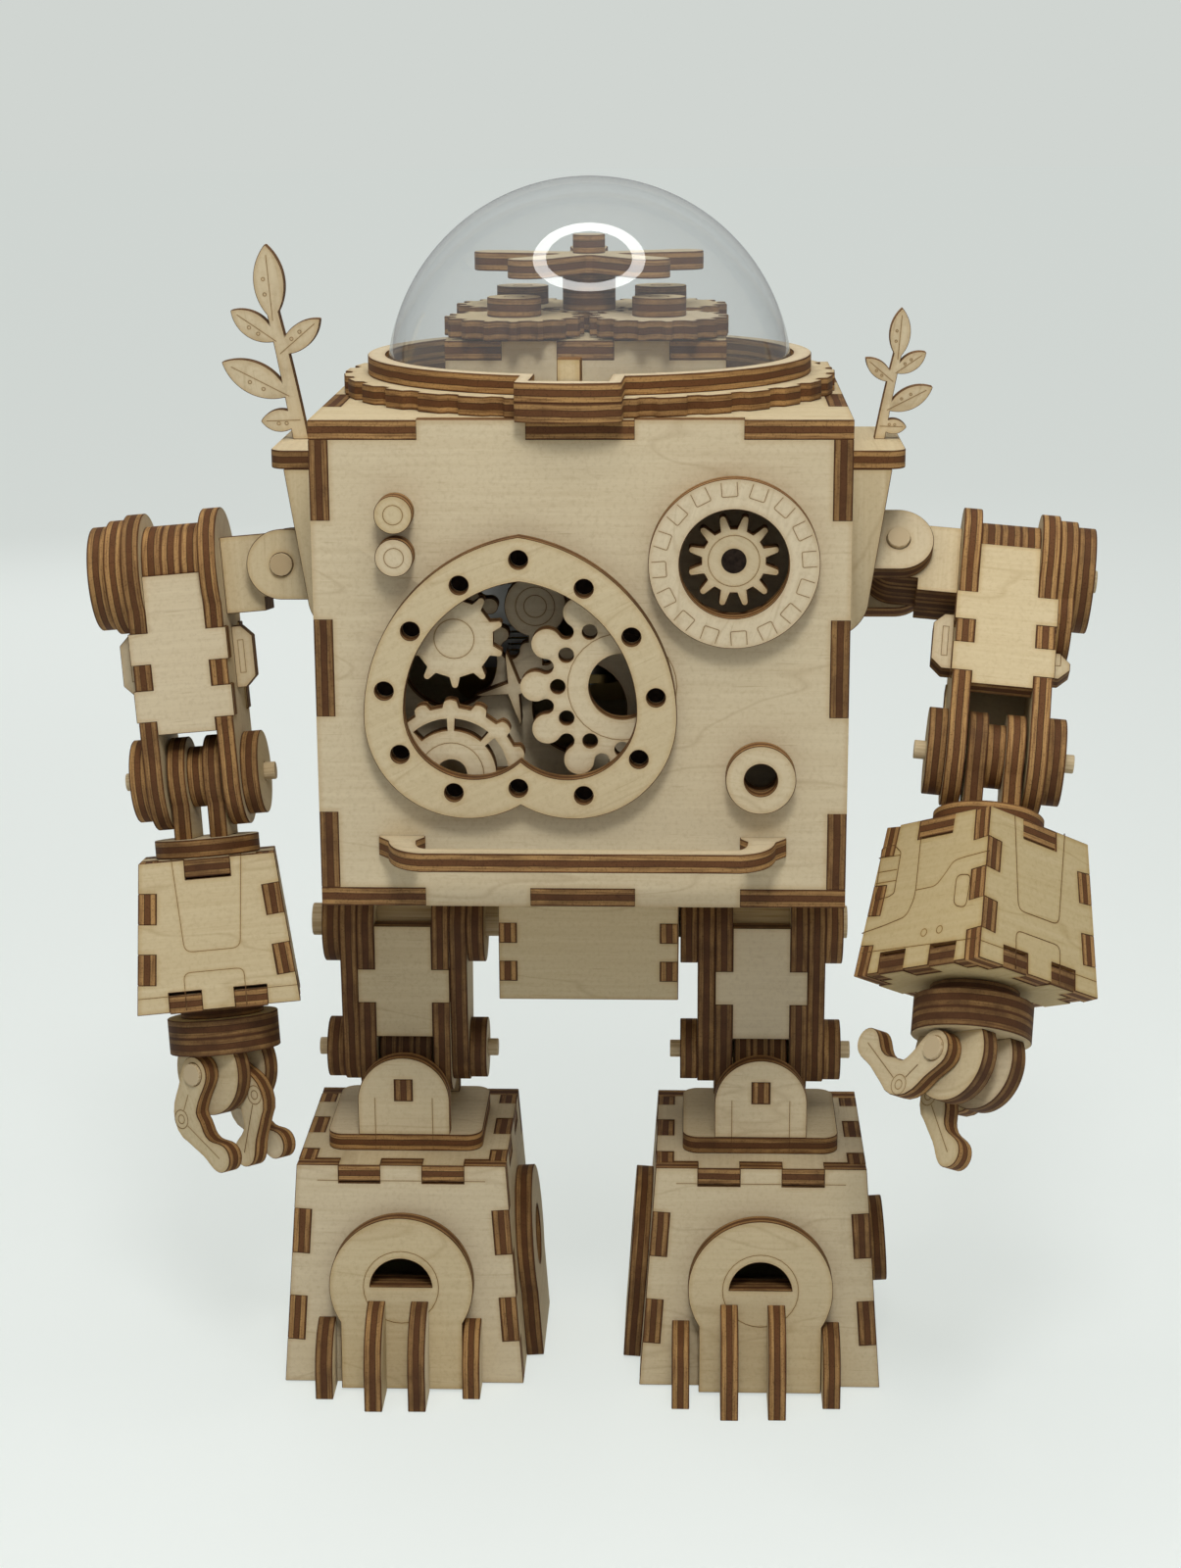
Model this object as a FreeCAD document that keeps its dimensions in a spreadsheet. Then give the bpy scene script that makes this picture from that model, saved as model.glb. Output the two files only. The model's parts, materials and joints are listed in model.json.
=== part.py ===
import FreeCAD, Part
import math
import os
from types import SimpleNamespace

import Sketcher

# A wind-up toy robot cut from plywood sheet: box body with a musical movement inside, clear dome
# over a turning gear train, jointed arms with fingers, and legs with box feet. Millimetres, +Z up,
# the front faces -Y, the floor is z = 0 under the middle of the body.

Vector = FreeCAD.Vector
Rotation = FreeCAD.Rotation
Placement = FreeCAD.Placement

doc = FreeCAD.newDocument("WindUpRobot")
sheet = doc.addObject("Spreadsheet::Sheet", "Sizes")

sizes = {
    # plywood, fits and rods
    "sheet": 3.2, "play": 0.05, "sideGap": 0.1, "shaftRadius": 2.0, "pinRadius": 1.6, "axleRadius": 3.0,
    # body box
    "bodyWidth": 88, "bodyDepth": 88, "bodyHeight": 81.8, "bodyBottom": 99.4,
    # heart window, measured from its own middle
    "heartX": -10, "heartZ": 136.2, "heartHalf": 25.75, "heartApex": 26.5, "heartLobeX": 8.7,
    "heartLobeZ": -3.6, "heartLobe": 17.05, "windowApex": 19.2, "windowLobeX": 7.75,
    "windowLobeZ": -2.5, "windowLobe": 11.4, "windowLedge": 1.5, "rivetHole": 1.54,
    # openwork gears in the window
    "smallGearX": -20.9, "smallGearZ": 145.3, "smallGearTip": 8.25, "smallGearRoot": 6.5,
    "slotGearX": -21.7, "slotGearZ": 122.3, "slotGearTip": 12.7, "slotGearRoot": 11.4,
    "slotInner": 7.45, "slotOuter": 9.55, "lobeGearX": 6.7, "lobeGearZ": 137.3,
    "lobeCircle": 14.3, "lobeRadius": 2.5, "lobeGapCircle": 13.0, "lobeHoleCircle": 10.6,
    "lobeHole": 1.3, "lobeBore": 5.6, "starX": -11.8, "starZ": 134.9, "starArm": 5.6,
    "innerPlateFront": -32, "innerPlateRight": -8.2, "innerPlateDisc": 148.4,
    # front fittings
    "dialX": 24.9, "dialZ": 158.3, "dialRadius": 13.9, "dialBore": 8.9, "dialWell": 9.1,
    "dialTip": 7.6, "dialRoot": 5.3, "buttonX": -30.1, "buttonZ": 162.9, "buttonStep": 7.0,
    "buttonRadius": 3.1, "buttonHeight": 4.0, "washerX": 29.6, "washerZ": 122.3,
    "washerRadius": 5.8, "washerBore": 2.75, "mouthZ": 108.5, "mouthHalf": 34.0,
    "mouthReach": 10.8, "mouthBar": 3.0, "mouthLeg": 7.6,
    # head
    "headTurn": -2.2, "scallopRing": 43, "scallopDepth": 1.3, "clampRing": 38.8, "tabWidth": 17.2,
    "tabReach": 49, "tabLip": 3.6, "pegSide": 3.8, "pegTop": 191, "domeRadius": 35.6,
    "domeWall": 1.2, "domeRise": 1.0, "brainHalfWidth": 23.8, "brainHalfDepth": 19,
    "brainHeight": 10.2, "trainOffset": 12.35, "wheelPitch": 11.2, "pinionPitch": 6.3,
    "addendum": 0.72, "dedendum": 0.95, "wheelLift": 0.4, "hubRadius": 4.6, "propellerReach": 21,
    "propellerHub": 5.6, "propellerLift": 6.5,
    # shoulders and sprigs
    "shoulderZ": 150, "shoulderOut": 10.4, "cheekGap": 12.8, "cheekTopOut": 8.3, "cheekWaistOut": 4.8,
    "cheekWaistZ": 146.5, "cheekFootZ": 141, "capLevel": 169.2, "capOut": 10.7, "sprigOut": 6.6,
    "sprigThickness": 2.4, "smallSprig": 0.67, "earRadius": 6.2, "hubFlange": 8.0,
    # arms
    "armInner": 11.15, "armOuter": 28.05, "armLength": 37.1, "armHead": 11, "armTail": 9.2,
    "tongueHeel": 4, "drumRadius": 8.6, "crossLength": 28.3, "crossTab": 8.8, "tabTop": 10.0, "tabHeight": 5.7,
    "tabPitch": 10.2, "capDisc": 10.2, "endDisc": 9.3, "elbowDisc": 7.5, "padTop": 12.6,
    "padLength": 15.0, "linkHead": 7.4, "linkHalf": 5.5, "linkLength": 11.0, "linkDisc": 9.4,
    "forearmTop": 14.3, "forearmBottom": 41.2, "forearmTopHalf": 12.0, "forearmBottomHalf": 14.4,
    "retainer": 5.0, "neckRadius": 7.5, "neckHeight": 2.1, "wristDisc": 10.0, "knuckleDrop": 53.2,
    "cheekRadius": 8.0, "fingerGap": 0.2, "fingerPivot": 3.2, "fingerElbow": 2.7,
    "fingerFirst": 9.3, "fingerSecond": 11.3, "fingerTip": 2.5, "fingerNeck": 1.7, "fingerBend": 80,
    # rest pose of the arms, in degrees
    "leftSwing": 8.2, "leftLift": -5.0, "leftElbow": 4.4, "leftTwist": 8.7, "leftWrist": -45,
    "leftOuterFinger": -27, "leftInnerFinger": 60, "rightSwing": 42.4, "rightLift": -6.1,
    "rightElbow": -9.7, "rightTwist": 42.1, "rightWrist": -90, "rightOuterFinger": 54,
    "rightInnerFinger": 51,
    # hips and legs
    "pelvisHalfWidth": 16, "pelvisHalfDepth": 20, "pelvisBottom": 74.5, "hipZ": 83,
    "dowelLeft": -51.8, "dowelRight": 47, "leftLegX": -34.5, "rightLegX": 31.2, "legGap": 5.25,
    "thighRadius": 8, "ankleZ": 58, "outerHead": 7.7, "outerTail": 6.0, "ankleDisc": 5.6,
    "shinTop": 84.2, "shinBottom": 62.8, "shinFace": 8.0, "shinHalf": 5.25, "shinTabZ": 69.4,
    "shinTabHeight": 6.5, "archFace": 12.6, "archHalf": 8.45, "archTop": 60.3, "coreRadius": 6.5,
    "coreBottom": 52, "coreTab": 4, "padWidth": 28.6, "padDepth": 25.2, "footHeight": 42.1, "footWidth": 44.3, "footDepth": 45.1,
    "footTopWidth": 38.3, "footTopDepth": 39.1, "keyholeZ": 20, "keyholeRadius": 13.2,
    "keyholeNeck": 22.4, "footDisc": 8, "moonWidth": 11.4, "moonHeight": 5.4, "toeHeight": 17.5,
    "outerToeHeight": 12.9,
    # musical movement
    "mountBack": 13.2, "bedThickness": 1.6, "bedWidth": 50, "bedHeight": 38, "bedZ": 142,
    "cylinderRadius": 6, "cylinderLength": 22, "arborRadius": 1.2, "barrelX": 18.5,
    "barrelRadius": 10.5, "barrelLength": 12, "keyZ": 142, "keyReach": 65.2,
}

for row, (name, value) in enumerate(sizes.items(), start=1):
    sheet.set("A%d" % row, name)
    sheet.set("B%d" % row, str(value))
    sheet.setAlias("B%d" % row, name)
doc.recompute()
dim = SimpleNamespace(**{name: float(sheet.get(name)) for name in sizes})

upright = Rotation()
facingFront = Rotation(Vector(1, 0, 0), 90)
facingSide = Rotation(Vector(1, 1, 1), 120)
nodes = []


# Outlines, drawn in the plane of a sheet

def spot(x, y):
    return Vector(x, y, 0)


def around(centre, radius, degrees):
    angle = math.radians(degrees)
    return centre + Vector(radius * math.cos(angle), radius * math.sin(angle), 0)


def circle(centre, radius):
    return [Part.Circle(centre, Vector(0, 0, 1), radius)]


def boundCircle(centre, expression):
    return [(centre, expression)]


def arc(centre, radius, start, end):
    middle = around(centre, radius, (start + end) / 2)
    return Part.Arc(around(centre, radius, start), middle, around(centre, radius, end))


def polygon(points):
    return [Part.LineSegment(a, b) for a, b in zip(points, points[1:] + points[:1])]


def rectangle(left, bottom, right, top):
    return polygon([spot(left, bottom), spot(right, bottom), spot(right, top), spot(left, top)])


def roundedPolygon(points, radii):
    """Polygon whose corners are rounded, each with its own radius."""
    starts = []
    for index, corner in enumerate(points):
        before = (points[index - 1] - corner).normalize()
        after = (points[(index + 1) % len(points)] - corner).normalize()
        half = before.getAngle(after) / 2
        run = radii[index] / math.tan(half)
        bisector = (before + after).normalize()
        middle = corner + bisector * (radii[index] / math.sin(half) - radii[index])
        starts.append((corner + before * run, middle, corner + after * run))
    edges = []
    for index, (entry, middle, leave) in enumerate(starts):
        if radii[index] > 0:
            edges.append(Part.Arc(entry, middle, leave))
        edges.append(Part.LineSegment(leave, starts[(index + 1) % len(starts)][0]))
    return edges


def roundedRectangle(left, bottom, right, top, radius):
    corners = [spot(left, bottom), spot(right, bottom), spot(right, top), spot(left, top)]
    return roundedPolygon(corners, [radius] * 4)


def stadium(first, firstRadius, second, secondRadius):
    """Two circles of any size joined by their outer tangents."""
    run = second - first
    heading = math.degrees(math.atan2(run.y, run.x))
    side = math.degrees(math.acos((firstRadius - secondRadius) / run.Length))
    return [
        arc(first, firstRadius, heading + side, heading + 360 - side),
        Part.LineSegment(around(first, firstRadius, heading - side), around(second, secondRadius, heading - side)),
        arc(second, secondRadius, heading - side, heading + side),
        Part.LineSegment(around(second, secondRadius, heading + side), around(first, firstRadius, heading + side)),
    ]


def headedBar(headRadius, half, length, tailRadius=0, notches=()):
    """Round head at the origin over a straight bar going down, with a round or flat end.

    Each notch is (top, bottom, depth) and is cut into both straight edges.
    """
    shoulder = math.degrees(math.asin(min(1, half / headRadius)))
    neck = around(spot(0, 0), headRadius, 270 + shoulder)
    rightSide = [spot(half, neck.y)]
    for top, bottom, depth in notches:
        rightSide += [spot(half, -top), spot(half - depth, -top), spot(half - depth, -bottom), spot(half, -bottom)]
    rightSide.append(spot(half, -length))
    leftSide = [spot(-point.x, point.y) for point in reversed(rightSide)]
    edges = [arc(spot(0, 0), headRadius, shoulder - 90, 270 - shoulder)]
    edges += [Part.LineSegment(a, b) for a, b in zip(leftSide[::-1], leftSide[::-1][1:])]
    if tailRadius:
        edges.append(arc(spot(0, -length), half, 180, 360))
    else:
        edges.append(Part.LineSegment(spot(-half, -length), spot(half, -length)))
    edges += [Part.LineSegment(a, b) for a, b in zip(rightSide[::-1], rightSide[::-1][1:])]
    return edges


def fingered(corners, sides):
    """Straight-sided outline for finger joints, corners counter-clockwise.

    Each side is (pattern, depth): 1 keeps the edge, 0 steps in by the depth. A third value
    gives the length that the pattern divides, centred on the side, where it isn't the side's own.
    """
    count = len(corners)
    lines = []
    for index, (pattern, depth, *span) in enumerate(sides):
        start = corners[index]
        run = corners[(index + 1) % count] - start
        inward = Vector(-run.y, run.x, 0).normalize()
        if span:
            along = Vector(run).normalize() * span[0]
            start = start + (run - along) * 0.5
            run = along
        lines.append((start, run, inward, [0 if keep else depth for keep in pattern]))
    points = []
    for index, (start, run, inward, steps) in enumerate(lines):
        earlierStart, earlierRun, earlierInward, earlierSteps = lines[index - 1]
        here = start + inward * steps[0]
        there = earlierStart + earlierInward * earlierSteps[-1]
        share = (there - here).cross(earlierRun).z / run.cross(earlierRun).z
        points.append(here + run * share)
        for position in range(1, len(steps)):
            if steps[position] != steps[position - 1]:
                step = start + run * (position / len(steps))
                points.append(step + inward * steps[position - 1])
                points.append(step + inward * steps[position])
    return polygon(points)


def gearOutline(centre, teeth, tip, root, tipShare, rootShare, phase=0, crown=0):
    """Straight-flanked teeth, one at the phase angle, with a slightly crowned tip."""
    pitch = 360 / teeth
    edges = []
    for index in range(teeth):
        middle = phase + index * pitch
        foot = around(centre, root, middle - rootShare * pitch / 2)
        rise = around(centre, tip - crown, middle - tipShare * pitch / 2)
        fall = around(centre, tip - crown, middle + tipShare * pitch / 2)
        heel = around(centre, root, middle + rootShare * pitch / 2)
        edges.append(Part.LineSegment(foot, rise))
        if crown:
            edges.append(Part.Arc(rise, around(centre, tip, middle), fall))
        else:
            edges.append(Part.LineSegment(rise, fall))
        edges.append(Part.LineSegment(fall, heel))
        edges.append(Part.LineSegment(heel, around(centre, root, middle + pitch - rootShare * pitch / 2)))
    return edges


def heartOutline(centre, apex, lobeX, lobeZ, lobe):
    """Upturned heart: two round lobes below, two long arcs meeting in a point on top."""
    half = lobeX + lobe
    rise = apex - lobeZ
    big = (half * half + rise * rise) / (2 * half)
    tilt = math.degrees(math.asin(rise / big))
    cleft = math.degrees(math.acos(lobeX / lobe))
    leftLobe = centre + spot(-lobeX, lobeZ)
    rightLobe = centre + spot(lobeX, lobeZ)
    rightBig = centre + spot(half - big, lobeZ)
    leftBig = centre + spot(big - half, lobeZ)
    return [
        arc(leftLobe, lobe, 180, 360 - cleft),
        arc(rightLobe, lobe, 180 + cleft, 360),
        arc(rightBig, big, 0, tilt),
        arc(leftBig, big, 180 - tilt, 180),
    ]


def lobedOutline(centre, count, lobeCircle, lobe, gapCircle):
    """Round lobes with round gaps between them, all arcs tangent."""
    edges = []
    half = 180 / count
    reach = (around(spot(0, 0), lobeCircle, 0) - around(spot(0, 0), gapCircle, half)).Length
    gap = reach - lobe
    for index in range(count):
        middle = 2 * half * index
        lobeCentre = around(centre, lobeCircle, middle)
        before = around(centre, gapCircle, middle - half)
        after = around(centre, gapCircle, middle + half)
        entry = lobeCentre + (before - lobeCentre) * (lobe / reach)
        leave = lobeCentre + (after - lobeCentre) * (lobe / reach)
        nextLobe = around(centre, lobeCircle, middle + 2 * half)
        following = nextLobe + (after - nextLobe) * (lobe / reach)
        edges.append(Part.Arc(entry, around(centre, lobeCircle + lobe, middle), leave))
        edges.append(Part.Arc(leave, around(centre, gapCircle - gap, middle + half), following))
    return edges


def slotOutline(centre, inner, outer, start, end):
    return [
        arc(centre, outer, start, end),
        Part.LineSegment(around(centre, outer, end), around(centre, inner, end)),
        arc(centre, inner, end, start),
        Part.LineSegment(around(centre, inner, start), around(centre, outer, start)),
    ]


# Sheets, rods and groups

def addSketch(body, outlines):
    sketch = body.newObject("Sketcher::SketchObject", "Outline")
    plane = [feature for feature in body.Origin.OriginFeatures if feature.Role == "XY_Plane"][0]
    sketch.AttachmentSupport = (plane, [""])
    sketch.MapMode = "FlatFace"
    for outline in outlines:
        for edge in outline:
            if not isinstance(edge, tuple):
                sketch.addGeometry(edge)
                continue
            centre, expression = edge
            radius = float(sheet.evalExpression(expression))
            index = sketch.addGeometry(Part.Circle(centre, Vector(0, 0, 1), radius))
            constraint = sketch.addConstraint(Sketcher.Constraint("Radius", index, radius))
            sketch.setExpression("Constraints[%d]" % constraint, expression)
    return sketch


def addPad(body, outlines, thickness="Sizes.sheet"):
    pad = body.newObject("PartDesign::Pad", "Layer")
    pad.Profile = addSketch(body, outlines)
    pad.setExpression("Length", thickness)
    body.Tip = pad
    return pad


def addPocket(body, outlines):
    pocket = body.newObject("PartDesign::Pocket", "Opening")
    pocket.Profile = addSketch(body, outlines)
    pocket.Type = "ThroughAll"
    pocket.Reversed = True
    body.Tip = pocket
    return pocket


def plate(name, outlines, thickness="Sizes.sheet"):
    body = doc.addObject("PartDesign::Body", name)
    addPad(body, outlines, thickness)
    return body


def place(piece, turn, x=0, y=0, z=0):
    piece.Placement = Placement(Vector(x, y, z), turn)
    return piece


def rod(name, radius, length, turn=upright, x=0, y=0, z=0):
    """Round rod or disc; radius and length are expressions on the sheet of sizes."""
    cylinder = doc.addObject("Part::Cylinder", name)
    cylinder.setExpression("Radius", radius)
    cylinder.setExpression("Height", length)
    return place(cylinder, turn, x, y, z)


def node(label, pieces, carrier=Placement()):
    """One sub-part: a single piece, or a group of pieces that move as one."""
    if len(pieces) == 1:
        part = pieces[0]
        part.Placement = carrier.multiply(part.Placement)
    else:
        part = doc.addObject("Part::Compound", label)
        part.Links = pieces
        part.Placement = carrier
    part.Label = label
    nodes.append(part)


def outward(side, start, thickness):
    """Where a layer begins along X when it is measured outward from the middle."""
    return start if side > 0 else -start - thickness


def spin(axis, degrees):
    return Rotation(axis, degrees)


shaftHole = "Sizes.shaftRadius + Sizes.play"
pinHole = "Sizes.pinRadius + Sizes.play"
axleHole = "Sizes.axleRadius + Sizes.play"
full = [1]
threeTabs = [1, 0, 1, 0, 1]
twoTabs = [0, 1, 0, 1, 0]
middleTab = [0, 1, 0]
endTabs = [1, 0, 1]
xAxis = Vector(1, 0, 0)
yAxis = Vector(0, 1, 0)
zAxis = Vector(0, 0, 1)
halfWidth = dim.bodyWidth / 2
halfDepth = dim.bodyDepth / 2
bodyTop = dim.bodyBottom + dim.bodyHeight
frontFace = -halfDepth
shoulderX = halfWidth + dim.shoulderOut
insideTop = bodyTop - dim.sheet
insideBottom = dim.bodyBottom + dim.sheet


# Body box

def boxCorners(half, bottom, top):
    return [spot(-half, bottom), spot(half, bottom), spot(half, top), spot(-half, top)]


def bodyPanels():
    heart = spot(dim.heartX, dim.heartZ)
    ledge = dim.windowLedge
    window = heartOutline(heart, dim.windowApex + ledge, dim.windowLobeX, dim.windowLobeZ, dim.windowLobe + ledge)
    dial = boundCircle(spot(dim.dialX, dim.dialZ), "Sizes.dialWell")
    port = boundCircle(spot(dim.washerX, dim.washerZ), "Sizes.washerBore")
    wall = boxCorners(halfWidth, dim.bodyBottom, bodyTop)
    wallSides = [(twoTabs, dim.sheet)] * 4
    front = plate("FrontPlate", [fingered(wall, wallSides), window, dial, port])
    addPad(front, [gearOutline(spot(dim.smallGearX, dim.smallGearZ), 10, dim.smallGearTip,
                               dim.smallGearRoot, 0.22, 0.42, 18, 0.5)])
    slotGear = spot(dim.slotGearX, dim.slotGearZ)
    slots = []
    for start in range(0, 360, 45):
        slots.append(slotOutline(slotGear, dim.slotInner, dim.slotOuter, start + 4, start + 41))
    addPad(front, [gearOutline(slotGear, 15, dim.slotGearTip, dim.slotGearRoot, 0.4, 0.56, 90, 0.3),
                   boundCircle(slotGear, "Sizes.shaftRadius * 1.3")] + slots)
    lobeGear = spot(dim.lobeGearX, dim.lobeGearZ)
    holes = []
    for step in range(12):
        holes.append(boundCircle(around(lobeGear, dim.lobeHoleCircle, 30 * step), "Sizes.lobeHole"))
    addPad(front, [lobedOutline(lobeGear, 12, dim.lobeCircle, dim.lobeRadius, dim.lobeGapCircle),
                   boundCircle(lobeGear, "Sizes.lobeBore")] + holes)
    node("body_front_plate", [place(front, facingFront, 0, frontFace + dim.sheet)])

    keyHole = boundCircle(spot(dim.barrelX, dim.keyZ), shaftHole)
    back = plate("BackPlate", [fingered(wall, wallSides), keyHole])
    node("body_back_plate", [place(back, facingFront, 0, halfDepth)])

    sideWall = boxCorners(halfDepth, dim.bodyBottom, bodyTop)
    sides = []
    for start in (-halfWidth, halfWidth - dim.sheet):
        outline = fingered(sideWall, [(twoTabs, dim.sheet), (threeTabs, dim.sheet)] * 2)
        side = plate("SidePlate", [outline, boundCircle(spot(0, dim.shoulderZ), axleHole)])
        sides.append(place(side, facingSide, start))
    node("body_side_plates", sides)

    lid = [spot(-halfWidth, -halfDepth), spot(halfWidth, -halfDepth), spot(halfWidth, halfDepth),
           spot(-halfWidth, halfDepth)]
    spindleHole = boundCircle(spot(0, 0), shaftHole)
    top = plate("TopPlate", [fingered(lid, [(threeTabs, dim.sheet)] * 4), spindleHole])
    node("body_top_plate", [place(top, upright, 0, 0, insideTop)])
    bottom = plate("BottomPlate", [fingered(lid, [(threeTabs, dim.sheet)] * 4)])
    node("body_bottom_plate", [place(bottom, upright, 0, 0, dim.bodyBottom)])


def heartRing():
    heart = spot(dim.heartX, dim.heartZ)
    outer = heartOutline(heart, dim.heartApex, dim.heartLobeX, dim.heartLobeZ, dim.heartLobe)
    inner = heartOutline(heart, dim.windowApex, dim.windowLobeX, dim.windowLobeZ, dim.windowLobe)
    # rivet holes follow the middle of the rim
    holePlaces = [(0, 22.8), (-9.7, 18.6), (10.6, 18.1), (-17.8, 11), (18.3, 10.1), (-22.3, 1),
                  (22.3, 0), (-19.9, -9.7), (19.5, -10.4), (-11.1, -16.2), (-0.4, -15.4), (10.4, -16.6)]
    holes = [boundCircle(heart + spot(x, z), "Sizes.rivetHole") for x, z in holePlaces]
    ring = plate("HeartRing", [outer, inner] + holes)
    node("heart_window_ring", [place(ring, facingFront, 0, frontFace)])


def innerPlates():
    inside = halfWidth - dim.sheet
    wheel = spot(dim.innerPlateRight, dim.innerPlateDisc)
    star = spot(dim.starX, dim.starZ)
    openings = [circle(star + spot(-11, 4), 8), circle(star + spot(11, -4), 8)]
    inner = plate("InnerPlate", [rectangle(-inside, insideBottom, inside, insideTop)] + openings)
    addPocket(inner, [lobedOutline(wheel, 9, 8.6, 1.6, 7.6), circle(wheel, 5.2)])
    spoke = rectangle(wheel.x - 1.2, wheel.y - 11, wheel.x + 1.2, wheel.y + 11)
    addPad(inner, [spoke])
    node("inner_gear_plate", [place(inner, facingFront, 0, dim.innerPlateFront + dim.sheet)])

    arm = dim.starArm
    points = []
    for quarter in range(4):
        points += [around(star, arm + 1, 90 * quarter + 10), around(star, arm, 90 * quarter + 14),
                   around(star, 1.4, 90 * quarter + 45)]
    wheelPlate = plate("Star", [polygon(points)])
    node("four_arm_wheel", [place(wheelPlate, facingFront, 0, dim.innerPlateFront)])


def frontFittings():
    dial = spot(dim.dialX, dim.dialZ)
    ring = plate("DialRing", [boundCircle(dial, "Sizes.dialRadius"), boundCircle(dial, "Sizes.dialBore")])
    node("dial_ring", [place(ring, facingFront, 0, frontFace)])
    gear = plate("DialGear", [gearOutline(dial, 12, dim.dialTip, dim.dialRoot, 0.3, 0.6, 15, 0.4),
                              boundCircle(dial, "Sizes.shaftRadius - Sizes.play")])
    pegLength = "Sizes.bodyDepth / 2 + Sizes.innerPlateFront - Sizes.sheet"
    peg = rod("DialPeg", "Sizes.shaftRadius * 1.6", pegLength, facingFront, dial.x, dim.innerPlateFront, dial.y)
    node("dial_gear", [place(gear, facingFront, 0, frontFace + dim.sheet), peg])

    buttons = []
    for step in (-0.5, 0.5):
        height = dim.buttonZ + step * dim.buttonStep
        buttons.append(rod("Button", "Sizes.buttonRadius", "Sizes.buttonHeight", facingFront, dim.buttonX, frontFace, height))
    node("chest_buttons", buttons)
    washer = spot(dim.washerX, dim.washerZ)
    port = plate("Washer", [boundCircle(washer, "Sizes.washerRadius"), boundCircle(washer, "Sizes.washerBore")])
    node("port_washer", [place(port, facingFront, 0, frontFace)])

    reach = frontFace - dim.mouthReach
    recess = reach + dim.mouthBar
    half = dim.mouthHalf
    leg = half - dim.mouthLeg
    points = [spot(-half, frontFace), spot(-half, reach), spot(half, reach), spot(half, frontFace),
              spot(leg, frontFace), spot(leg, recess), spot(-leg, recess), spot(-leg, frontFace)]
    bar = plate("MouthBar", [roundedPolygon(points, [0, 3.6, 3.6, 0, 0, 2.6, 2.6, 0])])
    node("mouth_bar", [place(bar, upright, 0, 0, dim.mouthZ)])


# Head

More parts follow.
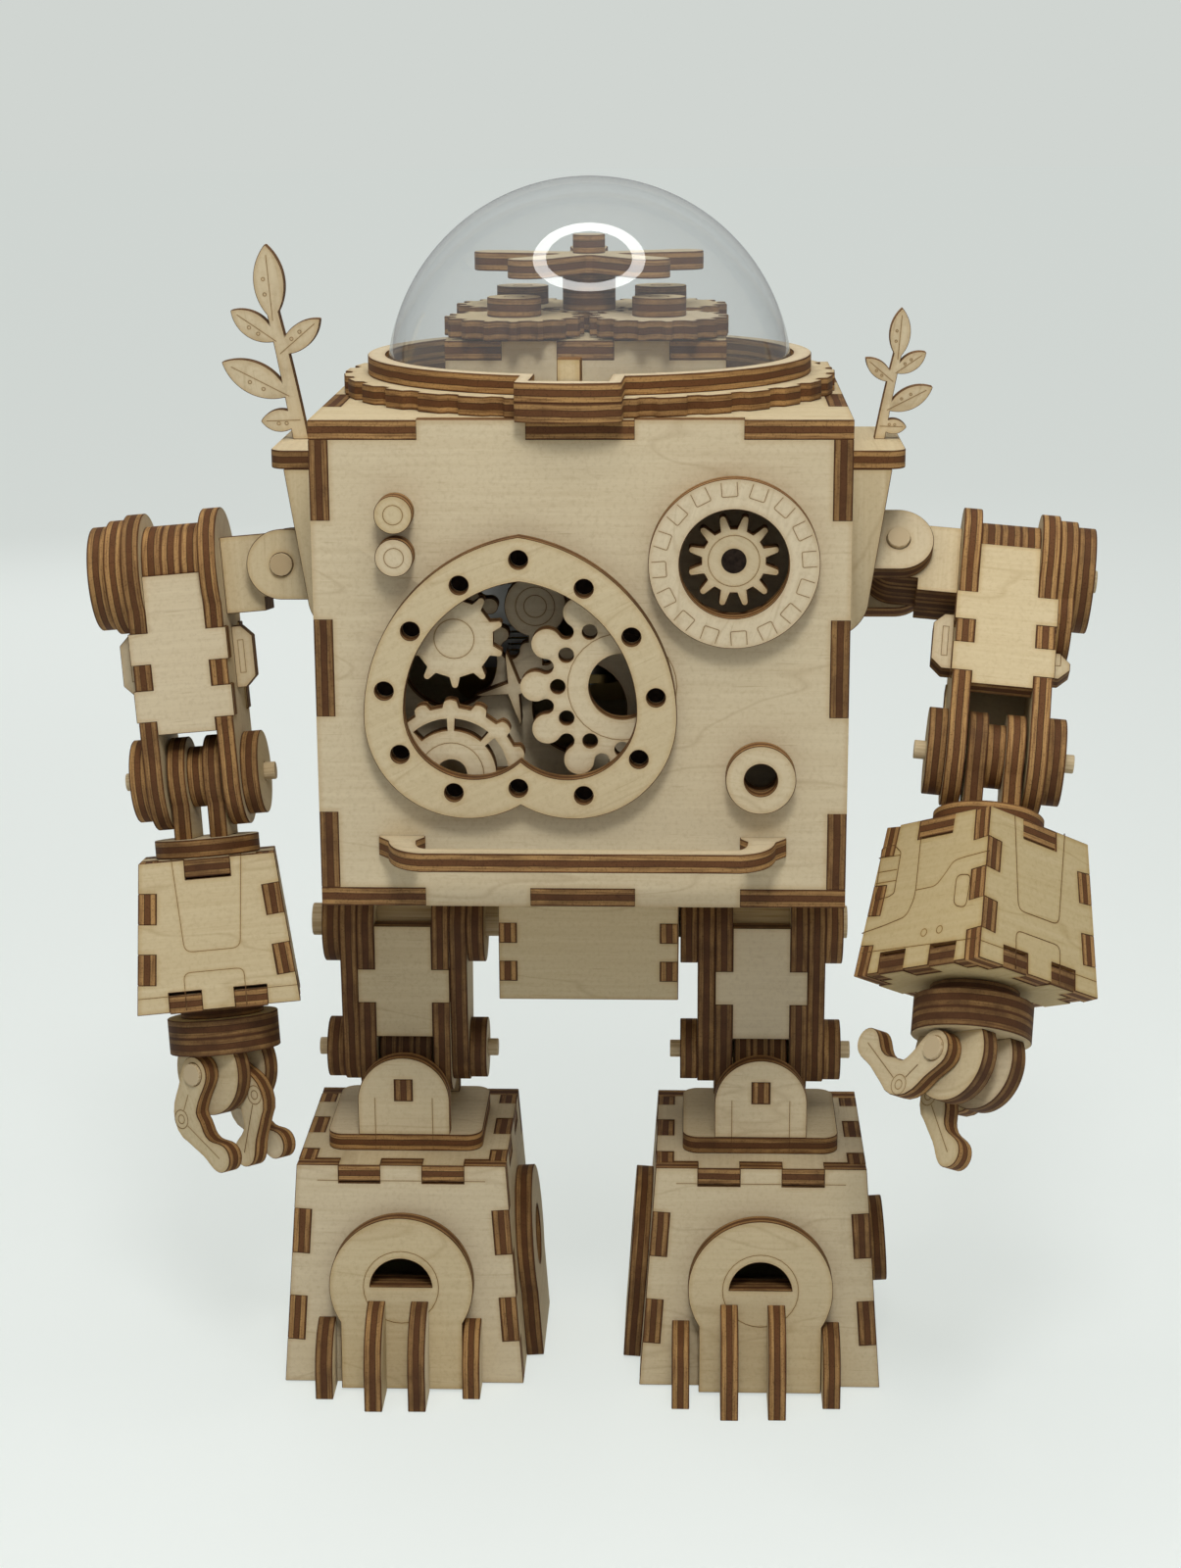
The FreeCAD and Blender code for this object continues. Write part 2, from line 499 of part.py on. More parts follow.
def headParts():
    turn = spin(zAxis, dim.headTurn)
    tab = dim.tabWidth / 2
    clear = dim.domeRadius + dim.sideGap
    centre = spot(0, 0)
    neck = -dim.clampRing + 1.5
    crest = dim.tabReach
    tabOutline = [Part.LineSegment(spot(-tab, neck), spot(-tab, -crest + 1.6)),
                  Part.Arc(spot(-tab, -crest + 1.6), spot(0, -crest), spot(tab, -crest + 1.6)),
                  Part.LineSegment(spot(tab, -crest + 1.6), spot(tab, neck)),
                  Part.LineSegment(spot(tab, neck), spot(-tab, neck))]
    scallops = gearOutline(centre, 32, dim.scallopRing, dim.scallopRing - dim.scallopDepth, 0.56, 0.76, 0)
    gearRing = plate("GearRing", [scallops, circle(centre, clear)])
    addPad(gearRing, [tabOutline])
    node("head_gear_ring", [place(gearRing, turn, 0, 0, bodyTop)])

    clampRing = plate("ClampRing", [circle(centre, dim.clampRing), circle(centre, clear)])
    addPad(clampRing, [tabOutline])
    notch = tab - 2.2
    addPocket(clampRing, [rectangle(-notch, -dim.tabReach + dim.tabLip, notch, neck + 6)])
    place(clampRing, turn, 0, 0, bodyTop + dim.sheet)
    pegBack = -dim.tabReach + dim.tabLip + 0.4
    pegHalf = dim.pegSide / 2
    ringTop = bodyTop + dim.sheet
    peg = plate("Peg", [rectangle(-pegHalf, pegBack, pegHalf, pegBack + dim.pegSide)],
                "Sizes.pegTop - Sizes.bodyBottom - Sizes.bodyHeight - Sizes.sheet")
    place(peg, turn, 0, 0, ringTop)
    node("head_clamp_ring", [clampRing, peg])

    dome = doc.addObject("PartDesign::Body", "Dome")
    outer = dim.domeRadius
    inner = outer - dim.domeWall
    rise = dim.domeRise
    corner = math.sqrt(0.5)
    shell = dome.newObject("PartDesign::Revolution", "Shell")
    profile = addSketch(dome, [[
        Part.LineSegment(spot(inner, 0), spot(outer, 0)),
        Part.LineSegment(spot(outer, 0), spot(outer, rise)),
        Part.Arc(spot(outer, rise), spot(outer * corner, rise + outer * corner), spot(0, rise + outer)),
        Part.LineSegment(spot(0, rise + outer), spot(0, rise + inner)),
        Part.Arc(spot(0, rise + inner), spot(inner * corner, rise + inner * corner), spot(inner, rise)),
        Part.LineSegment(spot(inner, rise), spot(inner, 0)),
    ]])
    shell.Profile = profile
    shell.ReferenceAxis = (profile, ["V_Axis"])
    shell.Angle = 360
    dome.Tip = shell
    node("dome", [place(dome, facingFront, 0, 0, bodyTop)])

    wide = dim.brainHalfWidth
    deep = dim.brainHalfDepth
    high = dim.brainHeight
    walls = []
    for start in (-deep + dim.sheet, deep):
        outline = fingered(boxCorners(wide, 0, high), [(full, 0), (full, 0), (twoTabs, dim.sheet), (full, 0)])
        walls.append(place(plate("BrainFront", [outline]), facingFront, 0, start, bodyTop))
    for start in (-wide, wide - dim.sheet):
        inset = deep - dim.sheet
        outline = fingered(boxCorners(inset, 0, high), [(full, 0), (full, 0), (twoTabs, dim.sheet), (full, 0)])
        walls.append(place(plate("BrainSide", [outline]), facingSide, start, 0, bodyTop))
    node("brain_box_walls", walls)

    lidSides = [(threeTabs, dim.sheet), (full, 0)] * 2
    lidOutline = fingered([spot(-wide, -deep), spot(wide, -deep), spot(wide, deep), spot(-wide, deep)], lidSides)
    inset = deep - dim.sheet
    lid = plate("BrainLid", [lidOutline, boundCircle(spot(0, 0), shaftHole)])
    for edge in (-wide, wide - dim.sheet):
        slots = []
        for step in (1, 3):
            low = -inset + 2 * inset * step / 5
            slots.append(rectangle(edge, low, edge + dim.sheet, low + 2 * inset / 5))
        addPocket(lid, slots)
    lidTop = bodyTop + high
    place(lid, upright, 0, 0, lidTop - dim.sheet)
    pieces = [lid]
    for corner in range(4):
        post = around(spot(0, 0), dim.trainOffset * math.sqrt(2), 45 + 90 * corner)
        pieces.append(rod("WheelPost", "Sizes.pinRadius", "Sizes.wheelLift + 2 * Sizes.sheet", upright, post.x, post.y, lidTop))
    node("brain_box_lid", pieces)


def toothAngles(corner):
    """Tooth angle of a wheel at a corner, so that it meshes with the pinion's tooth at angle 0."""
    heading = 45 + 90 * corner
    return heading + 180 + heading * pinionTeeth / wheelTeeth + 180 / wheelTeeth


wheelTeeth = 16
pinionTeeth = 9


def gearTrain():
    lidTop = bodyTop + dim.brainHeight
    level = lidTop + dim.wheelLift
    tip = dim.wheelPitch + dim.addendum
    root = dim.wheelPitch - dim.dedendum
    names = ["brain_gear_rear_right", "brain_gear_rear_left", "brain_gear_front_left", "brain_gear_front_right"]
    for corner, name in enumerate(names):
        post = around(spot(0, 0), dim.trainOffset * math.sqrt(2), 45 + 90 * corner)
        teeth = gearOutline(spot(0, 0), wheelTeeth, tip, root, 0.24, 0.52, toothAngles(corner))
        wheel = place(plate("Wheel", [teeth, boundCircle(spot(0, 0), pinHole)]), upright, post.x, post.y, level)
        hub = plate("Hub", [boundCircle(spot(0, 0), "Sizes.hubRadius"), boundCircle(spot(0, 0), pinHole)])
        place(hub, upright, post.x, post.y, level + dim.sheet)
        node(name, [wheel, hub])

    pinionTip = dim.pinionPitch + dim.addendum
    pinionRoot = dim.pinionPitch - dim.dedendum
    teeth = gearOutline(spot(0, 0), pinionTeeth, pinionTip, pinionRoot, 0.24, 0.5, 0)
    pinion = place(plate("Pinion", [teeth, boundCircle(spot(0, 0), "Sizes.shaftRadius")]), upright, 0, 0, level)
    collar = plate("Collar", [boundCircle(spot(0, 0), "Sizes.hubRadius"), boundCircle(spot(0, 0), "Sizes.shaftRadius")],
                   "Sizes.propellerLift")
    place(collar, upright, 0, 0, level + dim.sheet)
    bladeLevel = level + dim.sheet + dim.propellerLift
    propeller = plate("Propeller", [boundCircle(spot(0, 0), "Sizes.propellerHub")])
    blade = addPad(propeller, [stadium(spot(2, 0), 2.6, spot(dim.propellerReach - 3.4, 0), 3.4)])
    pattern = propeller.newObject("PartDesign::PolarPattern", "Blades")
    pattern.Originals = [blade]
    axis = [feature for feature in propeller.Origin.OriginFeatures if feature.Role == "Z_Axis"][0]
    pattern.Axis = (axis, [""])
    pattern.Angle = 360
    pattern.Occurrences = 5
    propeller.Tip = pattern
    place(propeller, spin(zAxis, 20), 0, 0, bladeLevel)
    cap = rod("PropellerCap", "Sizes.shaftRadius * 1.4", "Sizes.sheet", upright, 0, 0, bladeLevel + dim.sheet)
    node("propeller", [pinion, collar, propeller, cap])


# Musical movement inside the body

def movement():
    inside = halfWidth - dim.sheet
    bedFront = dim.mountBack - dim.sheet - dim.bedThickness
    barrel = spot(dim.barrelX, dim.keyZ)
    windHole = boundCircle(barrel, shaftHole)
    mount = plate("MountPlate", [rectangle(-inside, insideBottom, inside, insideTop), windHole])
    node("movement_mount_plate", [place(mount, facingFront, 0, dim.mountBack)])

    low = dim.bedZ - dim.bedHeight / 2
    high = dim.bedZ + dim.bedHeight / 2
    outline = roundedRectangle(-dim.bedWidth / 2, low, dim.bedWidth / 2, high, 3)
    bed = plate("Bedplate", [outline, boundCircle(barrel, shaftHole)], "Sizes.bedThickness")
    place(bed, facingFront, 0, dim.mountBack - dim.sheet)
    pieces = [bed]
    half = dim.cylinderLength / 2
    lugReach = dim.cylinderRadius
    for start in (dim.bedZ - half - dim.sideGap - dim.bedThickness, dim.bedZ + half + dim.sideGap):
        lug = roundedPolygon([spot(-5, bedFront), spot(-5, -lugReach), spot(5, -lugReach), spot(5, bedFront)], [0, 3, 3, 0])
        bearing = plate("BearingLug", [lug, boundCircle(spot(0, 0), "Sizes.arborRadius + Sizes.play")], "Sizes.bedThickness")
        pieces.append(place(bearing, upright, 0, 0, start))
    node("movement_bedplate", pieces)

    drum = plate("Drum", [boundCircle(spot(0, 0), "Sizes.cylinderRadius")], "Sizes.cylinderLength")
    place(drum, upright, 0, 0, dim.bedZ - half)
    arborStart = dim.bedZ - half - 3
    arborEnd = bodyTop - 2 * dim.sheet
    arbor = rod("Arbor", "Sizes.arborRadius", "%f" % (dim.bedZ - half - arborStart), upright, 0, 0, arborStart)
    upper = rod("UpperArbor", "Sizes.arborRadius", "%f" % (arborEnd - dim.bedZ - half), upright, 0, 0, dim.bedZ + half)
    tipLevel = bodyTop + dim.brainHeight + dim.wheelLift + dim.sheet + dim.propellerLift
    spindle = rod("Spindle", "Sizes.shaftRadius - Sizes.play / 4", "%f" % (tipLevel - arborEnd), upright, 0, 0, arborEnd)
    node("pin_cylinder", [drum, arbor, upper, spindle])

    combTip = -(dim.cylinderRadius + 0.9)
    teethLength = 8
    base = combTip - teethLength
    toothCount = 18
    pitch = (dim.cylinderLength - 2) / toothCount
    start = dim.bedZ - dim.cylinderLength / 2 + 1
    points = [spot(base - 5, start - 1), spot(base, start - 1)]
    for tooth in range(toothCount):
        bottom = start + tooth * pitch + 0.2
        top = start + (tooth + 1) * pitch - 0.2
        points += [spot(base, bottom), spot(combTip, bottom), spot(combTip, top), spot(base, top)]
    points += [spot(base, start + toothCount * pitch + 1), spot(base - 5, start + toothCount * pitch + 1)]
    comb = place(plate("Comb", [polygon(points)], "Sizes.bedThickness / 2"), facingFront, 0, 0.4)
    block = plate("CombBlock", [rectangle(base - 5, start - 1, base, start + toothCount * pitch + 1)],
                  "%f" % (bedFront - 0.4))
    node("music_comb", [comb, place(block, facingFront, 0, bedFront)])

    drumBarrel = plate("SpringBarrel", [boundCircle(barrel, "Sizes.barrelRadius"), windHole], "Sizes.barrelLength")
    node("spring_barrel", [place(drumBarrel, facingFront, 0, bedFront - dim.sideGap)])

    arborFront = bedFront - dim.sideGap - dim.barrelLength
    keyStart = halfDepth + 3
    stem = rod("KeyStem", "Sizes.shaftRadius", "%f" % (keyStart - arborFront), facingFront, barrel.x, keyStart, barrel.y)
    wings = doc.addObject("PartDesign::Body", "KeyWings")
    thickness = "Sizes.bedThickness * 1.25"
    addPad(wings, [rectangle(-2.6, 0, 2.6, dim.keyReach - keyStart - 5)], thickness)
    for side in (-1, 1):
        addPad(wings, [stadium(spot(side * 2.4, 5), 2.4, spot(side * 7.4, dim.keyReach - keyStart - 4.6), 4.6),
                       circle(spot(side * 7.0, dim.keyReach - keyStart - 5), 2.2)], thickness)
    place(wings, spin(xAxis, 0), barrel.x, keyStart, barrel.y - 1)
    node("winding_key", [stem, wings])


# Shoulders

def shoulderBoxes():
    pieces = []
    top = dim.capLevel
    foot = dim.cheekFootZ
    for side in (-1, 1):
        waist = spot(side * (halfWidth + dim.cheekWaistOut), dim.cheekWaistZ)
        bend = spot(side * (halfWidth + 0.75 * dim.cheekWaistOut), foot + 0.35 * (dim.cheekWaistZ - foot))
        outerTop = spot(side * (halfWidth + dim.cheekTopOut), top)
        footEnd = spot(side * (halfWidth + 0.35 * dim.cheekWaistOut), foot)
        corners = [footEnd, spot(side * halfWidth, foot), spot(side * halfWidth, top), outerTop, waist]
        outline = [Part.LineSegment(a, b) for a, b in zip(corners, corners[1:])]
        outline.append(Part.Arc(waist, bend, footEnd))
        for back in (-dim.cheekGap, dim.cheekGap + dim.sheet):
            pieces.append(place(plate("Cheek", [outline]), facingFront, 0, back))
        deep = dim.cheekGap + dim.sheet
        reach = halfWidth + dim.capOut
        corners = [spot(side * halfWidth, -deep), spot(side * reach, -deep), spot(side * reach, deep),
                   spot(side * halfWidth, deep)]
        cap = plate("Cap", [roundedPolygon(corners, [0, 3, 3, 0])])
        pieces.append(place(cap, upright, 0, 0, top))
    node("shoulder_boxes", pieces)


def leafSprig(label, side, scale):
    """Flat sprig: a curved stem with a leaf on top and four beside it."""
    body = doc.addObject("PartDesign::Body", label)

    def here(x, y):
        return spot(side * x * scale, y * scale)

    half = 1.2
    stem = [Part.Arc(here(-0.8, 0), here(0.9, 9), here(3.9, 22.5)),
            Part.LineSegment(here(3.9, 22.5), here(5.9, 22.0)),
            Part.Arc(here(5.9, 22.0), here(3.4, 8.6), here(2 * half - 0.4, 0)),
            Part.LineSegment(here(2 * half - 0.4, 0), here(-0.8, 0))]
    addPad(body, [stem], "Sizes.sprigThickness")
    # leaves: base, tip and half width
    leaves = [((4.9, 20.8), (5.9, 34), 2.7), ((4.4, 17.2), (12.3, 22.6), 2.2), ((3.8, 15.0), (-3.4, 21.1), 2.1),
              ((2.4, 7.6), (14.2, 13.6), 2.8), ((0.6, 3.4), (7.6, 3.2), 2.0)]
    for base, tip, width in leaves:
        start = here(*base)
        end = here(*tip)
        across = Vector(start.y - end.y, end.x - start.x, 0).normalize() * width * scale
        middle = (start + end) * 0.5
        addPad(body, [[Part.Arc(start, middle + across, end), Part.Arc(end, middle - across, start)]],
               "Sizes.sprigThickness")
    base = Placement(Vector(side * (halfWidth + dim.sprigOut), dim.sprigThickness / 2, dim.capLevel + dim.sheet), facingFront)
    node(label, [body], base)


# Arms

def armFrames(side):
    """Placements of shoulder, upper arm, elbow link, forearm and hand in the rest pose."""
    pose = "left" if side < 0 else "right"
    angle = {name: getattr(dim, pose + name) for name in ("Swing", "Lift", "Elbow", "Twist", "Wrist")}
    shoulder = Placement(Vector(side * shoulderX, 0, dim.shoulderZ), spin(xAxis, -angle["Swing"]))
    upper = shoulder.multiply(Placement(Vector(), spin(yAxis, -side * angle["Lift"])))
    middle = (dim.armInner + dim.armOuter) / 2
    elbowPoint = Vector(side * middle, 0, -dim.armLength)
    link = upper.multiply(Placement(elbowPoint, spin(xAxis, -angle["Elbow"])))
    forearm = link.multiply(Placement(Vector(), spin(zAxis, angle["Twist"])))
    hand = forearm.multiply(Placement(Vector(), spin(zAxis, angle["Wrist"])))
    return SimpleNamespace(shoulder=shoulder, upper=upper, link=link, forearm=forearm, hand=hand)


def disc(name, side, start, radius, hole, y=0, z=0, layers=1):
    """Disc across the arm, measured outward from the middle plane of its carrier."""
    piece = plate(name, [boundCircle(spot(0, 0), radius), boundCircle(spot(0, 0), hole)], "Sizes.sheet * %d" % layers)
    return place(piece, facingSide, outward(side, start, layers * dim.sheet), y, z)


def clevis(label, side, frames):
    flangeStart = dim.sideGap - dim.shoulderOut
    earStart = flangeStart + dim.sheet
    insideStart = -dim.shoulderOut - 2 * dim.sheet - dim.sideGap
    axleLength = earStart - insideStart
    axle = rod("Axle", "Sizes.axleRadius", "%f" % axleLength, facingSide, outward(side, insideStart, axleLength))
    pieces = [axle,
              disc("AxleRetainer", side, insideStart, "Sizes.hubFlange - Sizes.sheet / 2", axleHole),
              disc("AxleFlange", side, flangeStart, "Sizes.hubFlange", axleHole)]
    # ears either side of the three-layer tongue
    radius = dim.earRadius
    inner = 1.5 * dim.sheet + dim.sideGap
    ear = [arc(spot(0, 0), radius, 270, 450) if side > 0 else arc(spot(0, 0), radius, 90, 270)]
    start = side * earStart
    ends = [spot(0, radius), spot(start, radius), spot(start, -radius), spot(0, -radius)]
    ear += [Part.LineSegment(a, b) for a, b in zip(ends, ends[1:])]
    for back in (-inner, inner + dim.sheet):
        pieces.append(place(plate("Ear", [ear, boundCircle(spot(0, 0), shaftHole)]), facingFront, 0, back))
    pinLength = 2 * (inner + dim.sheet + 0.8)
    pieces.append(rod("EarPin", "Sizes.shaftRadius", "%f" % pinLength, facingFront, 0, pinLength / 2))
    node(label, pieces, frames.shoulder)


def crossPlate(half, top, bottom, tabHalf, tabs):
    """Upright strip with tabs that lie over the edges of the side plates."""
    right = [spot(half, -bottom)]
    for start, end in reversed(tabs):
        right += [spot(half, -end), spot(tabHalf, -end), spot(tabHalf, -start), spot(half, -start)]
    right.append(spot(half, -top))
    left = [spot(-point.x, point.y) for point in reversed(right)]
    return polygon(right + left)


def padOutline(half, top, length):
    """Flat plate with its corners cut off, as on the arm's sides."""
    cut = length / 4
    return polygon([spot(-half, -top - cut), spot(-half, -top - length + cut), spot(-half + cut / 2, -top - length),
                    spot(half - cut / 2, -top - length), spot(half, -top - length + cut), spot(half, -top - cut),
                    spot(half - cut / 2, -top), spot(-half + cut / 2, -top)])


def upperArm(prefix, side, frames):
    inner = dim.armInner
    outer = dim.armOuter
    middle = (inner + outer) / 2
    innerGap = (outer - inner) / 2 - dim.sheet
    elbow = -dim.armLength
    tabs = [(dim.tabTop + step * dim.tabPitch, dim.tabTop + step * dim.tabPitch + dim.tabHeight) for step in (0, 1)]
    notches = [(top, bottom, dim.sheet) for top, bottom in tabs]
    outline = headedBar(dim.armHead, dim.armTail, dim.armLength, dim.armTail, notches)
    pieces = []
    for start in (inner, outer - dim.sheet):
        holes = [boundCircle(spot(0, elbow), pinHole), boundCircle(spot(0, 0), shaftHole)]
        pieces.append(place(plate("ArmSide", [outline] + holes), facingSide, outward(side, start, dim.sheet)))
    strip = crossPlate(innerGap, 0, dim.crossLength, dim.crossTab, tabs)
    for back in (-dim.armTail + dim.sheet, dim.armTail):
        pieces.append(place(plate("ArmCross", [strip]), facingFront, side * middle, back))
    # tongue in the shoulder's ears
    reach = side * inner
    low = -dim.hubFlange
    high = dim.earRadius - 0.6
    heel = side * dim.tongueHeel
    tongue = [arc(spot(0, 0), high, 90, 270) if side > 0 else arc(spot(0, 0), high, 270, 450)]
    ends = [spot(0, high), spot(reach, high), spot(reach, low), spot(heel, low), spot(heel, -high), spot(0, -high)]
    tongue += [Part.LineSegment(a, b) for a, b in zip(ends, ends[1:])]
    block = plate("Tongue", [tongue, boundCircle(spot(0, 0), shaftHole)], "Sizes.sheet * 3")
    pieces.append(place(block, facingFront, 0, 1.5 * dim.sheet))
    node(prefix + "_upper_arm_plates", pieces, frames.upper)

    pieces = []
    cutHalf = dim.armTail - dim.sheet
    low = -math.sqrt(dim.drumRadius ** 2 - cutHalf ** 2)
    drum = [arc(spot(0, 0), dim.drumRadius, 0, 180),
            Part.LineSegment(spot(-dim.drumRadius, 0), spot(-cutHalf, 0)),
            Part.LineSegment(spot(-cutHalf, 0), spot(-cutHalf, low)),
            arc(spot(0, 0), dim.drumRadius, 180 + math.degrees(math.asin(-low / dim.drumRadius)),
                360 - math.degrees(math.asin(-low / dim.drumRadius))),
            Part.LineSegment(spot(cutHalf, low), spot(cutHalf, 0)),
            Part.LineSegment(spot(cutHalf, 0), spot(dim.drumRadius, 0))]
    block = plate("Drum", [drum, boundCircle(spot(0, 0), shaftHole)], "Sizes.armOuter - Sizes.armInner - 2 * Sizes.sheet")
    pieces.append(place(block, facingSide, side * middle - innerGap))
    pieces.append(disc("CapDisc", side, outer, "Sizes.capDisc", shaftHole))
    pieces.append(disc("EndDisc", side, outer + dim.sheet, "Sizes.endDisc", shaftHole))
    dowelLength = outer + 2 * dim.sheet + 1.1 - inner
    pieces.append(rod("ShoulderDowel", "Sizes.shaftRadius", "%f" % dowelLength, facingSide, outward(side, inner, dowelLength)))
    for start in (inner - dim.sheet, outer):
        pieces.append(disc("ElbowDisc", side, start, "Sizes.elbowDisc", pinHole, 0, elbow))
        pad = plate("SidePad", [padOutline(cutHalf, dim.padTop, dim.padLength)])
        pieces.append(place(pad, facingSide, outward(side, start, dim.sheet)))
    pinLength = outer - inner + 2 * dim.sheet + 4
    pinStart = inner - dim.sheet - 2
    pieces.append(rod("ElbowPin", "Sizes.pinRadius", "%f" % pinLength, facingSide, outward(side, pinStart, pinLength), 0, elbow))
    node(prefix + "_upper_arm_discs", pieces, frames.upper)


def elbowLink(prefix, frames):
    pieces = []
    outline = headedBar(dim.linkHead, dim.linkHalf, dim.linkLength)
    half = dim.sheet / 2
    for start in (-half - dim.sheet, half):
        pieces.append(place(plate("LinkSide", [outline, boundCircle(spot(0, 0), pinHole)]), facingSide, start))
    spacer = plate("LinkSpacer", [boundCircle(spot(0, 0), "Sizes.linkHalf"), boundCircle(spot(0, 0), pinHole)])
    pieces.append(place(spacer, facingSide, -half))
    top = plate("LinkDisc", [boundCircle(spot(0, 0), "Sizes.linkDisc"), boundCircle(spot(0, 0), shaftHole)])
    pieces.append(place(top, upright, 0, 0, -dim.linkLength - dim.sheet))
    retainerLevel = -dim.forearmTop - 2 * dim.sheet - dim.sideGap
    stemLength = -dim.linkLength - retainerLevel
    pieces.append(rod("LinkStem", "Sizes.shaftRadius", "%f" % stemLength, upright, 0, 0, retainerLevel))
    lock = plate("LinkRetainer", [boundCircle(spot(0, 0), "Sizes.retainer"), boundCircle(spot(0, 0), shaftHole)])
    pieces.append(place(lock, upright, 0, 0, retainerLevel))
    node(prefix + "_elbow_link", pieces, frames.link)


def slantedWalls(name, bottomHalf, topHalf, height, level, sideSteps, topSteps, bottomSteps, holes=None):
    """Four leaning walls of a box that narrows upward; halves are (along X, along Y).

    Front and back walls take the first pattern of each pair, the two side walls the second.
    """
    walls = []
    for index in range(4):
        across = index % 2
        lean = math.atan2(bottomHalf[1 - across] - topHalf[1 - across], height)
        slant = height / math.cos(lean)
        rise = dim.sheet * math.sin(lean)
        low = bottomHalf[across]
        high = topHalf[across]
        lowHalf = low + (high - low) * rise / slant
        corners = [spot(-lowHalf, rise), spot(lowHalf, rise), spot(high, slant), spot(-high, slant)]
        capDepth = dim.sheet / math.cos(lean) + dim.sheet * math.tan(lean)
        edge = (sideSteps[across], dim.sheet)
        bottomEdge = (bottomSteps[across], capDepth, 2 * low)
        outline = fingered(corners, [bottomEdge, edge, (topSteps[across], capDepth), edge])
        turn = spin(zAxis, 90 * index).multiply(spin(xAxis, -math.degrees(lean))).multiply(facingFront)
        outside = spin(zAxis, 90 * index).multVec(Vector(0, -bottomHalf[1 - across], level))
        normal = turn.multVec(zAxis)
        wall = plate(name, [outline] + (holes[index] if holes else []))
        wall.Placement = Placement(outside - normal * dim.sheet, turn)
        walls.append(wall)
    return walls


def forearmBox(prefix, frames):
    low = dim.forearmBottomHalf
    high = dim.forearmTopHalf
    height = dim.forearmBottom - dim.forearmTop
    level = -dim.forearmBottom
    pieces = slantedWalls("ForearmWall", (low, low), (high, high), height, level,
                          (threeTabs, twoTabs), (endTabs, endTabs), (threeTabs, threeTabs))
    lean = math.atan2(low - high, height)
    depth = dim.sheet / math.cos(lean)
    bore = boundCircle(spot(0, 0), shaftHole)
    topPlate = plate("ForearmTop", [fingered(squareCorners(high, high), [(middleTab, depth)] * 4), bore])
    pieces.append(place(topPlate, upright, 0, 0, -dim.forearmTop - dim.sheet))
    inset = dim.sheet * math.tan(lean)
    bottomSides = [(twoTabs, depth, 2 * low)] * 4
    bottomPlate = plate("ForearmBottom", [fingered(squareCorners(low - inset, low - inset), bottomSides), bore])
    pieces.append(place(bottomPlate, upright, 0, 0, level))
    node(prefix + "_forearm_box", pieces, frames.forearm)


def squareCorners(halfX, halfY):
    return [spot(-halfX, -halfY), spot(halfX, -halfY), spot(halfX, halfY), spot(-halfX, halfY)]


def handHub(prefix, frames):
    bottom = -dim.forearmBottom
    pieces = []
    retainerLevel = bottom + dim.sheet + dim.sideGap
    neckTop = bottom - dim.sideGap
    discTop = neckTop - dim.neckHeight
    hubLevel = discTop - 2 * dim.sheet
    neck = plate("Neck", [boundCircle(spot(0, 0), "Sizes.neckRadius"), boundCircle(spot(0, 0), shaftHole)], "Sizes.neckHeight")
    pieces.append(place(neck, upright, 0, 0, discTop))
    wrist = plate("WristDisc", [boundCircle(spot(0, 0), "Sizes.wristDisc"), boundCircle(spot(0, 0), shaftHole)], "Sizes.sheet * 2")
    pieces.append(place(wrist, upright, 0, 0, hubLevel))
    lock = plate("WristRetainer", [boundCircle(spot(0, 0), "Sizes.retainer"), boundCircle(spot(0, 0), shaftHole)])
    pieces.append(place(lock, upright, 0, 0, retainerLevel))
    stemLength = retainerLevel + dim.sheet - hubLevel
    pieces.append(rod("WristStem", "Sizes.shaftRadius", "%f" % stemLength, upright, 0, 0, hubLevel))
    # cheeks cut flat where they meet the wrist discs
    knuckle = -dim.knuckleDrop
    rise = hubLevel - knuckle
    edge = math.degrees(math.asin(rise / dim.cheekRadius))
    centre = spot(0, 0)
    cheek = [arc(centre, dim.cheekRadius, 180 - edge, 360 + edge),
             Part.LineSegment(around(centre, dim.cheekRadius, edge), around(centre, dim.cheekRadius, 180 - edge))]
    inner = dim.sheet / 2 + dim.fingerGap
    for back in (-inner, inner + dim.sheet):
        pieces.append(place(plate("HandCheek", [cheek, boundCircle(centre, shaftHole)]), facingFront, 0, back, knuckle))
    pinLength = 2 * (inner + 2 * dim.sheet + dim.fingerGap + 0.6)
    pieces.append(rod("KnucklePin", "Sizes.shaftRadius", "%f" % pinLength, facingFront, 0, pinLength / 2, knuckle))
    node(prefix + "_hand_hub", pieces, frames.hand)


def finger(lean, bend):
    """Bent finger seen along the knuckle pin; angles from straight down, positive towards +X."""
    pivot = spot(0, 0)
    elbow = around(pivot, dim.fingerFirst, lean - 90)
    tip = around(elbow, dim.fingerSecond, lean + bend - 90)
    near = around(elbow, dim.fingerSecond - 2, lean + bend - 90)
    body = plate("Finger", [stadium(pivot, dim.fingerPivot, elbow, dim.fingerElbow), boundCircle(pivot, shaftHole)])
    addPad(body, [stadium(elbow, dim.fingerElbow, near, dim.fingerNeck)])
    addPad(body, [boundCircle(tip, "Sizes.fingerTip")])
    return body


def fingers(prefix, side, frames):
    toward = 1 if side < 0 else -1
    outerLean = toward * getattr(dim, prefix + "OuterFinger")
    innerLean = toward * getattr(dim, prefix + "InnerFinger")
    bend = toward * dim.fingerBend
    knuckle = -dim.knuckleDrop
    inner = 1.5 * dim.sheet + 2 * dim.fingerGap
    pair = []
    for back in (-inner, inner + dim.sheet):
        pair.append(place(finger(outerLean, bend), facingFront, 0, back, knuckle))
    node(prefix + "_outer_fingers", pair, frames.hand)
    single = place(finger(innerLean, -bend), facingFront, 0, dim.sheet / 2, knuckle)
    node(prefix + "_inner_finger", [single], frames.hand)


# Hips and legs

